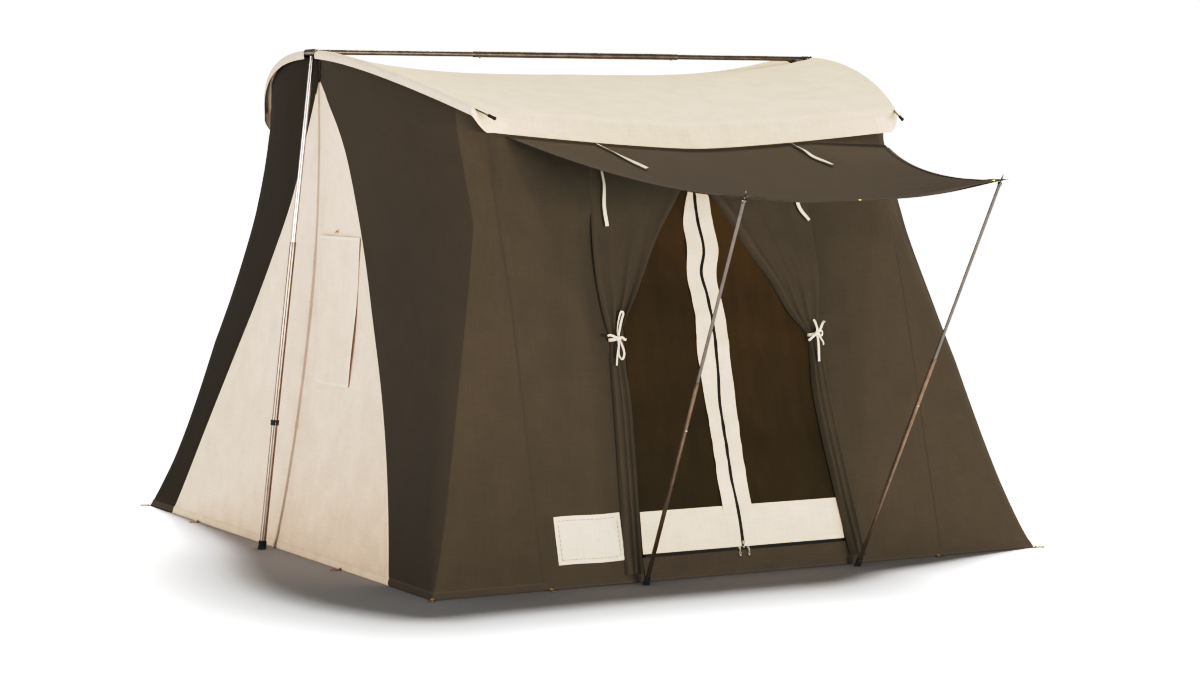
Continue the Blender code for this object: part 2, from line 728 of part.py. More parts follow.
def upright(tag, side):
    pin = Vector((side * T_X, 0, RIDGE_Z - PIN_DROP))
    foot = Vector((side * FOOT_X, 0, 0))
    down = (foot - pin).normalized()
    per_z = 1 / -down.z
    joint = pin + down * ((pin.z - UP_JOINT_Z) * per_z)
    end = foot - down * 0.012
    # upper section: hollow tube, forked round the lug, with its cross pin
    top = pin - down * 0.0155
    run = (joint - top).length + 0.26
    bm = revolve("", top, down,
                 [(UP_UPPER_R, 0), (UP_UPPER_R, run), (UP_UPPER_R - 0.0015, run),
                  (UP_UPPER_R - 0.0015, 0)], STEEL, 0.25, n=12, make=False)
    obj = finish("upright_%s_upper" % tag, bm, STEEL, 0.22, 0.95, origin=pin)
    rot = Vector((0, 0, -1)).rotation_difference(down).to_matrix()
    slot = box_bm(pin + down * -0.0005, (0.05, 0.0066, 0.032), rot)
    boolean(obj, helper("fork_slot_" + tag, slot), "DIFFERENCE")
    cross = revolve("", pin - Vector((0, 0.0115, 0)), (0, 1, 0),
                    [(0, 0), (0.0030, 0), (0.0030, 0.023), (0, 0.023)], STEEL, 0.3,
                    n=10, make=False)
    boolean(obj, helper("fork_pin_" + tag, cross), "UNION")
    # lower section: wider tube that the upper one slides in
    run = (end - joint).length
    inner = UP_LOWER_R - 0.0015
    revolve("upright_%s_lower" % tag, joint, down,
            [(0, run), (UP_LOWER_R, run), (UP_LOWER_R, 0), (inner, 0),
             (inner, run - 0.02), (0, run - 0.02)], STEEL, 0.3, 0.9, n=12, origin=joint)
    # collar with its small ear
    mid = pin + down * ((pin.z - UP_COLLAR_Z) * per_z)
    start = mid - down * 0.011
    bm = revolve("", start, down,
                 [(UP_LOWER_R + 0.0004, 0), (0.0172, 0), (0.0180, 0.004), (0.0180, 0.018),
                  (0.0172, 0.022), (UP_LOWER_R + 0.0004, 0.022)], BLACK, 0.6, n=12, make=False)
    collar = finish("upright_%s_collar" % tag, bm, BLACK, 0.6, origin=mid)
    ear = box_bm(mid + Vector((0, -0.021, 0)), (0.008, 0.012, 0.010))
    boolean(collar, helper("collar_ear_" + tag, ear), "UNION")
    pole_foot("upright_%s_foot" % tag, foot, down, 0.0165, UP_LOWER_R + 0.0004,
              0.034, run_end=0.012)


# ------------------------------------------------------------ door parts
DOOR_SLOPE = (HEM_Y - 1.039) / 1.700
DOOR_OUT = Vector((0, -1, DOOR_SLOPE)).normalized()


def door_pt(x, z, out=0.0):
    """A point on the door plane, `out` metres in front of it."""
    base = Vector((x, -HEM_Y + DOOR_SLOPE * z, z))
    return base + DOOR_OUT * out


def plate(name, outline, out, thick, color, roughness, metallic=0.0, origin=None):
    """A flat closed plate on the door plane; outline in (x, z)."""
    bm = bmesh.new()
    front = [bm.verts.new(door_pt(x, z, out)) for x, z in outline]
    back = [bm.verts.new(door_pt(x, z, out - thick)) for x, z in outline]
    for vert in bm.verts:
        vert.co.z = max(vert.co.z, 0.0)
    bm.faces.new(front)
    bm.faces.new(list(reversed(back)))
    n = len(outline)
    for k in range(n):
        m = (k + 1) % n
        bm.faces.new((front[k], back[k], back[m], front[m]))
    return finish(name, bm, color, roughness, metallic, origin=origin, smooth=False)


def leaf_axis(tag, z):
    """A point on the line that a screen leaf folds about."""
    x = door_left(z) + 0.003 if tag == "left" else door_right(z) - 0.003
    return door_pt(x, z, -0.0025)


def door():
    gap = 0.0015
    low, high = DOOR_BOT_Z + 0.014, DOOR_TOP_Z - 0.030
    # sill strip below the level zip
    plate("door_sill", [(DOOR_LEFT_X + gap, 0.0), (DOOR_RIGHT_X - gap, 0.0),
                        (DOOR_RIGHT_X - gap, DOOR_BOT_Z - 0.001),
                        (DOOR_LEFT_X + gap, DOOR_BOT_Z - 0.001)],
          -0.001, 0.003, CANVAS_BROWN, 0.9)
    plate("screen_leaf_left", [(door_left(low) + 0.004, low), (zip_x(low) - 0.0045, low),
                               (zip_x(high) - 0.0045, high), (door_left(high) + 0.004, high)],
          -0.001, 0.003, MESH_BROWN, 0.85, origin=leaf_axis("left", low))
    plate("screen_leaf_right", [(zip_x(low) + 0.0045, low), (door_right(low) - 0.004, low),
                                (door_right(high) - 0.004, high), (zip_x(high) + 0.0045, high)],
          -0.001, 0.003, MESH_BROWN, 0.85, origin=leaf_axis("right", low))
    plate("zipper_vertical", [(zip_x(low) - 0.0035, low), (zip_x(low) + 0.0035, low),
                              (zip_x(high) + 0.0035, high), (zip_x(high) - 0.0035, high)],
          0.0005, 0.003, BLACK, 0.5)
    plate("zipper_horizontal", [(DOOR_LEFT_X + 0.012, DOOR_BOT_Z + 0.0015),
                                (DOOR_RIGHT_X - 0.012, DOOR_BOT_Z + 0.0015),
                                (DOOR_RIGHT_X - 0.012, DOOR_BOT_Z + 0.0095),
                                (DOOR_LEFT_X + 0.012, DOOR_BOT_Z + 0.0095)],
          0.0005, 0.003, BLACK, 0.5)
    # sliders: body and hanging pull
    z0 = DOOR_BOT_Z + 0.026
    x0 = zip_x(z0)
    plate("slider_vertical", [(x0 - 0.005, z0 - 0.006), (x0 + 0.005, z0 - 0.006),
                              (x0 + 0.006, z0 + 0.008), (x0 - 0.006, z0 + 0.008)],
          0.0065, 0.005, STEEL, 0.35, 0.9, origin=door_pt(x0, z0))
    for tag, side in (("left", -1), ("right", 1)):
        x1 = zip_x(DOOR_BOT_Z) + side * 0.020
        z1 = DOOR_BOT_Z + 0.0055
        plate("slider_" + tag, [(x1 - 0.007, z1 - 0.005), (x1 + 0.007, z1 - 0.006),
                                (x1 + 0.007, z1 + 0.006), (x1 - 0.007, z1 + 0.005)],
              0.0065, 0.005, STEEL, 0.35, 0.9, origin=door_pt(x1, z1))


def flap(tag, side):
    """Tied back door flap: sewn along the top and outer side, its free edge
    drawn to the tie, its tail hanging to the ground."""
    if side < 0:
        outline = [(-0.040, 1.605), (-0.480, 1.605), (-0.497, 0.905), (-0.560, 0.035),
                   (-0.494, 0.030), (-0.452, 0.860), (-0.455, 0.915), (-0.250, 1.245)]
    else:
        outline = [(-0.034, 1.605), (0.228, 1.205), (0.405, 0.905), (0.392, 0.830),
                   (0.452, 0.030), (0.530, 0.035), (0.452, 0.905), (0.470, 1.605)]
    return plate("door_flap_" + tag, outline, 0.012, 0.005, CANVAS_BROWN, 0.9)


# ------------------------------------------------------------ gable flap
def side_surface(y, z, out=0.0):
    """Left gable's outer face at depth y and height z, `out` metres proud."""
    w, h = 0.3, 0.5
    for _ in range(60):
        h = z / (side_point(w, 1)[2])
        w = abs(y) / (HEM_Y * (1 - h) + 1.029 * h)
    p = side_point(w, h)
    return Vector((-(p[0] + out), y, z))


STOVE_Y0, STOVE_Y1 = -0.052, -0.418      # top corners
STOVE_LOW_Y0, STOVE_LOW_Y1 = -0.140, -0.440
STOVE_Z0, STOVE_Z1 = 1.283, 0.690


def stove_axis():
    """Middle and direction of the line that the flap lifts about."""
    a = side_surface(STOVE_Y0, STOVE_Z0, 0.0075)
    b = side_surface(STOVE_Y1, STOVE_Z0, 0.0075)
    return (a + b) / 2, (a - b).normalized()


def stove_flap():
    rows = []
    for k in range(6):
        f = k / 5
        z = STOVE_Z0 + (STOVE_Z1 - STOVE_Z0) * f
        y0 = STOVE_Y0 + (STOVE_LOW_Y0 - STOVE_Y0) * f
        y1 = STOVE_Y1 + (STOVE_LOW_Y1 - STOVE_Y1) * f
        rows.append([side_surface(y0 + (y1 - y0) * j / 4, z, 0.0065) for j in range(5)])
    return cloth_sheet("stove_flap", rows, (1, 0, 0), CANVAS_CREAM, 0.9, thick=0.003,
                       origin=stove_axis()[0])


# ------------------------------------------------------------ stake rings
RINGS = (
    ("ring_front_left_corner", (-HEM_X, -HEM_Y), (-0.55, -0.84)),
    ("ring_front_right_corner", (HEM_X, -HEM_Y), (0.90, -0.44)),
    ("ring_rear_left_corner", (-HEM_X, HEM_Y), (-0.90, 0.44)),
    ("ring_rear_right_corner", (HEM_X, HEM_Y), (0.90, 0.44)),
    ("ring_left_front", (-HEM_X, -0.662), (-1, 0)),
    ("ring_left_rear", (-HEM_X, 0.873), (-1, 0)),
    ("ring_right_front", (HEM_X, -0.662), (1, 0)),
    ("ring_right_rear", (HEM_X, 0.873), (1, 0)),
    ("ring_front_left", (-0.884, -HEM_Y), (0, -1)),
    ("ring_front_right", (0.884, -HEM_Y), (0, -1)),
    ("ring_rear_middle", (0.0, HEM_Y), (0, 1)),
)
RING_GAP = 0.004
RING_LONG = 0.040
RING_WIDE = 0.024


def stake_ring(name, at, away):
    """Wire loop lying on the ground outside the hem."""
    d = Vector((away[0], away[1], 0)).normalized()
    side = Vector((-d.y, d.x, 0))
    start = Vector((at[0], at[1], 0)) + d * RING_GAP
    r = RING_WIDE / 2 - RING_WIRE
    half = RING_LONG / 2 - RING_WIDE / 2
    mid = start + d * (RING_LONG / 2)
    path = []
    for k in range(5):
        a = -math.pi / 2 + math.pi * k / 4
        path.append(mid + d * (half + r * math.cos(a)) + side * (r * math.sin(a)))
    for k in range(5):
        a = math.pi / 2 + math.pi * k / 4
        path.append(mid + d * (-half + r * math.cos(a)) + side * (r * math.sin(a)))
    path = [p + Vector((0, 0, RING_WIRE + 0.0002)) for p in path]
    return sweep(name, path, RING_WIRE, BRASS, 0.4, 0.9, n=6, closed=True,
                 origin=start + Vector((0, 0, RING_WIRE)))


# ------------------------------------------------------------ awning tapes
TAPE_R = 0.003


def smooth_path(points, count):
    """Points along a Catmull-Rom curve through a route, evenly spaced."""
    pts = [Vector(p) for p in points]
    pts = [pts[0] * 2 - pts[1]] + pts + [pts[-1] * 2 - pts[-2]]
    dense = []
    for i in range(1, len(pts) - 2):
        for k in range(24):
            t = k / 24
            a, b, c, d = pts[i - 1:i + 3]
            dense.append(0.5 * ((2 * b) + (c - a) * t + (2 * a - 5 * b + 4 * c - d) * t * t
                                + (3 * b - a - 3 * c + d) * t ** 3))
    dense.append(pts[-2])
    run = [0.0]
    for a, b in zip(dense, dense[1:]):
        run.append(run[-1] + (b - a).length)
    out = []
    for k in range(count):
        goal = run[-1] * k / (count - 1)
        i = max(j for j in range(len(run)) if run[j] <= goal + 1e-12)
        if i >= len(dense) - 1:
            out.append(dense[-1].copy())
            continue
        f = (goal - run[i]) / (run[i + 1] - run[i])
        out.append(dense[i].lerp(dense[i + 1], f))
    return out


def on_awning(a, b, lift):
    p = awning_point(a, b)
    return (p[0], p[1], p[2] + lift)


def hang_front(x, z, out):
    return (x, -end_point(x, z) - out, z)


TAPE_ROUTES = {
    "tape_top_left": [on_awning(-0.560, 0.020, 0.0095), on_awning(-0.560, 0.10, 0.0095),
                      on_awning(-0.575, 0.18, 0.0095), on_awning(-0.590, 0.26, 0.0095),
                      on_awning(-0.600, 0.30, 0.0095)],
    "tape_top_right": [on_awning(0.480, 0.020, 0.0095), on_awning(0.490, 0.10, 0.0095),
                       on_awning(0.480, 0.18, 0.0095), on_awning(0.495, 0.26, 0.0095),
                       on_awning(0.500, 0.30, 0.0095)],
    "tape_low_left": [hang_front(-0.452, 1.625, 0.022), hang_front(-0.453, 1.56, 0.024),
                      hang_front(-0.450, 1.50, 0.025), hang_front(-0.462, 1.42, 0.026),
                      hang_front(-0.462, 1.343, 0.030)],
    "tape_low_right": [hang_front(0.428, 1.625, 0.022), hang_front(0.427, 1.55, 0.024),
                       hang_front(0.426, 1.46, 0.025), hang_front(0.436, 1.40, 0.027),
                       hang_front(0.470, 1.352, 0.033)],
}


def tape(name, route):
    curve = bpy.data.curves.new(name, "CURVE")
    curve.dimensions = "3D"
    curve.bevel_depth = TAPE_R
    curve.bevel_resolution = 2
    curve.render_resolution_u = 0
    curve.use_fill_caps = True
    pts = smooth_path(route, 16)
    spline = curve.splines.new("POLY")
    spline.points.add(len(pts) - 1)
    for point, co in zip(spline.points, pts):
        point.co = (co.x, co.y, co.z, 1.0)
    obj = bpy.data.objects.new(name, curve)
    bpy.context.scene.collection.objects.link(obj)
    curve.materials.append(material(name, CANVAS_CREAM, 0.9))
    return obj


# ------------------------------------------------------------ build
def build():
    for obj in list(bpy.data.objects):
        bpy.data.objects.remove(obj, do_unlink=True)
    # frame
    tube("ridge_center_tube", (RIDGE_JOINT_L, 0, RIDGE_Z), (RIDGE_JOINT_R, 0, RIDGE_Z),
         RIDGE_CENTER_R, RIDGE_CENTER_R - 0.0018, STEEL, 0.3, 0.9)
    ridge_end("left", -1, RIDGE_JOINT_L + 0.24)
    ridge_end("right", 1, RIDGE_JOINT_R - 0.24)
    for tag, side in (("left", -1), ("right", 1)):
        bow_rod(tag, side)
        upright(tag, side)
    for tag, side, end in (("front_left", -1, -1), ("front_right", 1, -1),
                           ("rear_left", -1, 1), ("rear_right", 1, 1)):
        bar_cap(tag, side, end)
    # canvas body
    floor = box_bm((0, 0, 0.0015), (2 * (HEM_X - 0.012), 2 * (HEM_Y - 0.012), 0.003))
    finish("floor_sheet", floor, FLOOR_GREY, 0.6, smooth=False)
    roof_canvas()
    gable_panel("gable_panel_left", -1)
    gable_panel("gable_panel_right", 1)
    corner_panel("corner_panel_front_left", -1, -1)
    corner_panel("corner_panel_front_right", 1, -1)
    corner_panel("corner_panel_rear_left", -1, 1)
    corner_panel("corner_panel_rear_right", 1, 1)
    front_wall()
    rear_wall()
    door()
    flap("left", -1)
    flap("right", 1)
    stove_flap()
    # awning and its poles
    awning_canvas()
    awning_pole("left", -1, (-AWN_CORNER_X, AWN_CORNER_Y, AWN_CORNER_Z_L),
                (AWN_FOOT_X_L, AWN_FOOT_Y, 0))
    awning_pole("right", 1, (AWN_CORNER_X, AWN_CORNER_Y, AWN_CORNER_Z_R),
                (AWN_FOOT_X_R, AWN_FOOT_Y, 0))
    for name, at, away in RINGS:
        stake_ring(name, at, away)
    for name, route in TAPE_ROUTES.items():
        tape(name, route)


build()
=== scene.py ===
import math

import bmesh
import bpy
import numpy as np
from mathutils import Matrix, Vector
from mathutils import noise as mnoise


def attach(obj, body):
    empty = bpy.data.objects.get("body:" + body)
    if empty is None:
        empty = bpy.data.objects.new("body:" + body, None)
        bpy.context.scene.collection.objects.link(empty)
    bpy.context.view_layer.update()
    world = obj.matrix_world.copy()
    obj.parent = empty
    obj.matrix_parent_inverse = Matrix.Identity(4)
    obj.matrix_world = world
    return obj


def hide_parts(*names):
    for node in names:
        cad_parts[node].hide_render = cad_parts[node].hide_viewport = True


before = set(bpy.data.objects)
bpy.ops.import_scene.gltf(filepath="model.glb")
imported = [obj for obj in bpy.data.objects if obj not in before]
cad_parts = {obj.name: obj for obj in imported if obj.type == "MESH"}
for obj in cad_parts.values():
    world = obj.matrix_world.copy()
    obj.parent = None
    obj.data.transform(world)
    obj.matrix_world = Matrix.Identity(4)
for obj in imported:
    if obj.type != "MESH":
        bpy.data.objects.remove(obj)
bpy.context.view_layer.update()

# ------------------------------------------------------------ sizes of the frame
RIDGE_Z, HEM_X, HEM_Y, T_X = 2.030, 1.371, 1.487, 1.196
BAR_X, BAR_Y, BAR_Z, BAR_R = 0.970, 1.031, 1.797, 0.004
BAR_STEPS = (0, 0.045, 0.1, 0.22, 0.36, 0.5, 0.64, 0.78, 0.9, 1.0)
BAR_OUT_FRONT, BAR_OUT_REAR = 0.105, 0.030
RIDGE_R, RIDGE_CENTER_R = 0.011, 0.0135
RIDGE_JOINT_L, RIDGE_JOINT_R = -0.459, 0.5355
TEE_R, TEE_HALF, PIN_DROP, FOOT_X = 0.012, 0.055, 0.032, 1.431
UP_UPPER_R, UP_LOWER_R, UP_JOINT_Z, UP_COLLAR_Z = 0.010, 0.013, 1.255, 0.517
PANEL_SEAM_X, GABLE_APEX_Z = 0.900, 1.920
GABLE_HEM_FRONT, GABLE_HEM_REAR = 1.095, 1.200
DOOR_MID_X, DOOR_ZIP_LEAN, DOOR_BOT_Z, DOOR_TOP_Z = -0.022, -0.010, 0.090, 1.560
DOOR_LEFT_X, DOOR_RIGHT_X = -0.475, 0.455
DOOR_LEFT_TOP_X, DOOR_RIGHT_TOP_X = -0.400, 0.375
AWN_HINGE_Y, AWN_REAR_L, AWN_REAR_R = -1.072, 0.845, 0.905
AWN_CORNER_X, AWN_CORNER_Y = 0.5555, -2.320
AWN_CORNER_Z_L, AWN_CORNER_Z_R = 1.483, 1.532
AWN_FOOT_Y, AWN_FOOT_X_L, AWN_FOOT_X_R = -1.542, -0.503, 0.4595
AWN_UPPER_R, AWN_LOWER_R = 0.0065, 0.0082
ROOF_LIFT = 0.0105
FASCIA = ((0.012, 0.012), (0.024, 0.036), (0.032, 0.066), (0.038, 0.096))
RING_WIRE, RING_GAP, RING_LONG, RING_WIDE = 0.002, 0.004, 0.040, 0.024
RINGS = (
    ("ring_front_left_corner", (-HEM_X, -HEM_Y), (-0.55, -0.84)),
    ("ring_front_right_corner", (HEM_X, -HEM_Y), (0.90, -0.44)),
    ("ring_rear_left_corner", (-HEM_X, HEM_Y), (-0.90, 0.44)),
    ("ring_rear_right_corner", (HEM_X, HEM_Y), (0.90, 0.44)),
    ("ring_left_front", (-HEM_X, -0.662), (-1, 0)),
    ("ring_left_rear", (-HEM_X, 0.873), (-1, 0)),
    ("ring_right_front", (HEM_X, -0.662), (1, 0)),
    ("ring_right_rear", (HEM_X, 0.873), (1, 0)),
    ("ring_front_left", (-0.884, -HEM_Y), (0, -1)),
    ("ring_front_right", (0.884, -HEM_Y), (0, -1)),
    ("ring_rear_middle", (0.0, HEM_Y), (0, 1)),
)


# ------------------------------------------------------------ canvas surfaces
def bow_x(s, end=-1):
    return T_X - (T_X - BAR_X) * s ** (1.9 if end < 0 else 2.05)


def bow_z(s, end=-1):
    return RIDGE_Z - (RIDGE_Z - BAR_Z) * s ** (1.68 if end < 0 else 2.1)


def side_point(w, h, end=-1):
    near = math.exp(-((w * BAR_Y) / 0.09) ** 2)
    top = np.array((bow_x(w, end) - 0.012 - 0.018 * near, 1.029 * w,
                    bow_z(w, end) - 0.010 - 0.026 * near))
    hem = np.array((HEM_X, HEM_Y * w, 0.0))
    belly = 4 * h * (1 - h)
    slack_x, slack_y = (0.010, 0.006) if end < 0 else (0.020, 0.012)
    pull = np.array(((0.070 - (0.070 - slack_x) * w ** 4) * belly,
                     slack_y * w ** 4 * belly, 0))
    return hem * (1 - h) + top * h - pull


def front_point(u, h, end=-1):
    top = np.array((0.958 * u, 1.029 + 0.010 * (1 - u * u), 1.700 + 0.087 * u * u))
    hem = np.array((HEM_X * u, HEM_Y, 0.0))
    belly = 4 * h * (1 - h)
    slack_x, slack_y = (0.010, 0.006) if end < 0 else (0.020, 0.012)
    pull = np.array((slack_x * u ** 4 * belly, slack_y * u ** 4 * belly, 0))
    return hem * (1 - h) + top * h - pull


def corner_arm(h, end=-1):
    arm = 0.25 * (1 - math.exp(-h / 0.08)) * (0.6 + 0.4 * h)
    arm += (0.09 if end < 0 else 0.19) * min(1.0, max(0.0, (h - 0.42) / 0.3))
    if h > 0.85:
        arm += ((0.16 if end < 0 else 0.28) - arm) * ((h - 0.85) / 0.15) ** 2
    return arm


def wall_row(h, count=60, end=-1):
    arm = corner_arm(h, end)
    front_len = HEM_X * (1 - h) + 0.958 * h
    side_len = HEM_Y * (1 - h) + 1.029 * h
    ua, wa = 1 - arm / front_len, 1 - arm / side_len
    pts = [front_point(ua * k / count, h, end) for k in range(count)]
    p0, pc, p1 = front_point(ua, h, end), front_point(1, h, end), side_point(wa, h, end)
    if arm < 1e-5:
        pts.append(pc)
    else:
        for k in range(13):
            t = k / 12
            pts.append(p0 * (1 - t) ** 2 + pc * 2 * t * (1 - t) + p1 * t * t)
    pts += [side_point(wa * (1 - k / count), h, end) for k in range(1, count + 1)]
    pts = np.array(pts)
    step = np.linalg.norm(np.diff(pts, axis=0), axis=1)
    return pts, np.concatenate(([0.0], np.cumsum(step)))


def at_length(row, lengths, where):
    return np.array([np.interp(where, lengths, row[:, k]) for k in range(3)]).T


_rows = {}


# How far the gable seams bow away from a straight line: share of the
# apex height, and metres along the wall.
SEAM_SHIFT_FRONT = ((0, 0.5, 0.6, 0.7, 0.8, 0.88, 0.95, 1),
                    (0.010, 0.020, 0.045, 0.066, 0.088, 0.098, 0.055, 0))
SEAM_SHIFT_REAR = ((0, 0.1, 0.2, 0.3, 0.4, 0.5, 0.6, 0.66, 0.72, 0.8, 0.9, 1),
                   (0, 0.045, 0.085, 0.103, 0.098, 0.062, 0.022, -0.008,
                    -0.045, -0.050, -0.030, 0))


def seam_lengths(h, end=-1):
    key = (round(h, 6), end)
    if key not in _rows:
        hem_side = GABLE_HEM_FRONT if end < 0 else GABLE_HEM_REAR
        row, lengths = wall_row(h, end=end)
        front = np.interp(PANEL_SEAM_X, row[:70, 0], lengths[:70])
        t = row[:, 2] / GABLE_APEX_Z
        at, shift = SEAM_SHIFT_FRONT if end < 0 else SEAM_SHIFT_REAR
        room = 0.05 * np.clip((1 - t) / 0.06, 0, 1)     # rounds the bends of the seam
        bow = np.mean([np.interp(t + d * room, at, shift) for d in np.linspace(-1, 1, 9)], axis=0)
        gap = row[:, 1] - hem_side * (1 - t) - bow
        side = lengths[-1]
        for k in range(len(row) - 1, 0, -1):
            if gap[k] < 0 <= gap[k - 1]:
                f = gap[k] / (gap[k] - gap[k - 1])
                side = lengths[k] + (lengths[k - 1] - lengths[k]) * f
                break
        _rows[key] = (row, lengths, front, side)
    return _rows[key]


APEX_H = GABLE_APEX_Z / side_point(0, 1)[2]


def end_point(x, z):
    """Depth of the front or rear wall at x and height z."""
    h, u = 0.5, 0.5
    for _ in range(40):
        u = abs(x) / (HEM_X * (1 - h) + 0.958 * h)
        h = z / (1.700 + 0.087 * u * u)
    return front_point(u, h)[1]


def end_row_x(h, share, end=-1):
    row, lengths, front, _ = seam_lengths(h, end)
    return at_length(row, lengths, front * share)


def door_left(z):
    f = min(1.0, max(0.0, (z - DOOR_BOT_Z) / (DOOR_TOP_Z - DOOR_BOT_Z)))
    return DOOR_LEFT_X + (DOOR_LEFT_TOP_X - DOOR_LEFT_X) * f


def door_right(z):
    f = min(1.0, max(0.0, (z - DOOR_BOT_Z) / (DOOR_TOP_Z - DOOR_BOT_Z)))
    return DOOR_RIGHT_X + (DOOR_RIGHT_TOP_X - DOOR_RIGHT_X) * f


def zip_x(z):
    return DOOR_MID_X + DOOR_ZIP_LEAN * z


DOOR_SLOPE = (HEM_Y - 1.039) / 1.700
DOOR_OUT = np.array((0.0, -1.0, DOOR_SLOPE)) / math.hypot(1.0, DOOR_SLOPE)


def door_pt(x, z, out=0.0):
    return np.array((x, -HEM_Y + DOOR_SLOPE * z, z)) + DOOR_OUT * out


def roof_sag(u, s):
    depth = 0.090 + (0.068 - 0.090) * s * s
    power = 3.4 - 2.1 * s ** 1.2
    return depth * (1 - (u * u + 0.004) ** (power / 2)) / (1 - 0.004 ** (power / 2))


def roof_point(u, v, lift=ROOF_LIFT):
    s, end = abs(v), (-1 if v < 0 else 1)
    y = BAR_Y * v
    near = math.exp(-(y / 0.045) ** 2)
    z_edge = bow_z(s, end) + lift - 0.024 * near
    z = z_edge - roof_sag(u, s) + 0.018 * near * max(0.0, 1 - abs(u) ** 3)
    return np.array((bow_x(s, end) * u, y, z))


def roof_hem_z(x):
    u = max(-1.0, min(1.0, x / BAR_X))
    return roof_point(u, -1)[2] - FASCIA[-1][1]


def awning_point(a, b):
    rear_half = AWN_REAR_L if a < 0 else AWN_REAR_R
    half = rear_half + (AWN_CORNER_X - rear_half) * b
    scoop = 0.055 * 4 * b * (1 - b) * a * a
    x = a * (half - scoop)
    y = AWN_HINGE_Y + (AWN_CORNER_Y - AWN_HINGE_Y) * b
    y += 0.055 * (1 - a * a) * b ** 2
    rear = min(roof_hem_z(a * rear_half) - 0.011, 1.700 - 0.024 * (1 + a))
    corner = AWN_CORNER_Z_L + (AWN_CORNER_Z_R - AWN_CORNER_Z_L) * (a + 1) / 2
    z = rear + (corner - rear) * b
    z -= 0.046 * (1 - a * a) * b ** 2
    z -= (0.044 - 0.006 * a + 0.012 * (1 - a * a)) * 4 * b * (1 - b)
    return np.array((x, y, z))


def side_surface(y, z, out=0.0):
    w, h = 0.3, 0.5
    for _ in range(60):
        h = z / (side_point(w, 1)[2])
        w = abs(y) / (HEM_Y * (1 - h) + 1.029 * h)
    p = side_point(w, h)
    return np.array((-(p[0] + out), y, z))


# ------------------------------------------------------------ node helpers
def new_material(name):
    mat = bpy.data.materials.new(name)
    mat.use_nodes = True
    nt = mat.node_tree
    return mat, nt, nt.nodes["Principled BSDF"]


def node(nt, kind, **values):
    n = nt.nodes.new(kind)
    for key, value in values.items():
        if key.startswith("in_"):
            n.inputs[int(key[3:]) if key[3:].isdigit() else key[3:].replace("_", " ")].default_value = value
        else:
            setattr(n, key, value)
    return n


def link(nt, a, b):
    nt.links.new(a, b)


def ramp(nt, source, stops):
    n = nt.nodes.new("ShaderNodeValToRGB")
    while len(n.color_ramp.elements) < len(stops):
        n.color_ramp.elements.new(0.5)
    for e, (pos, value) in zip(n.color_ramp.elements, stops):
        e.position = pos
        e.color = value if len(value) == 4 else (*value, 1.0)
    link(nt, source, n.inputs["Fac"])
    return n


def grey(v):
    return (v, v, v, 1.0)


def shade(color, k):
    return (color[0] * k, color[1] * k, color[2] * k, 1.0)


def noise_tex(nt, vector, scale, detail=3.0, rough=0.55, distort=0.0):
    n = node(nt, "ShaderNodeTexNoise")
    n.inputs["Scale"].default_value = scale
    n.inputs["Detail"].default_value = detail
    n.inputs["Roughness"].default_value = rough
    n.inputs["Distortion"].default_value = distort
    link(nt, vector, n.inputs["Vector"])
    return n


def scaled(nt, vector, x, y, z=1.0, turn=0.0):
    m = node(nt, "ShaderNodeMapping")
    m.inputs["Scale"].default_value = (x, y, z)
    m.inputs["Rotation"].default_value = (0, 0, turn)
    link(nt, vector, m.inputs["Vector"])
    return m.outputs["Vector"]


def multiply(nt, a, b, factor=1.0):
    m = node(nt, "ShaderNodeMix", data_type="RGBA", blend_type="MULTIPLY")
    m.inputs[0].default_value = factor
    link(nt, a, m.inputs[6])
    link(nt, b, m.inputs[7])
    return m.outputs[2]


def mix_color(nt, factor, a, b):
    m = node(nt, "ShaderNodeMix", data_type="RGBA")
    link(nt, factor, m.inputs[0])
    for socket, value in ((m.inputs[6], a), (m.inputs[7], b)):
        if isinstance(value, tuple):
            socket.default_value = value
        else:
            link(nt, value, socket)
    return m.outputs[2]


def maths(nt, op, a, b=None, clamp=False):
    m = node(nt, "ShaderNodeMath", operation=op, use_clamp=clamp)
    for socket, value in ((m.inputs[0], a), (m.inputs[1], b)):
        if value is None:
            continue
        if isinstance(value, (int, float)):
            socket.default_value = value
        else:
            link(nt, value, socket)
    return m.outputs[0]


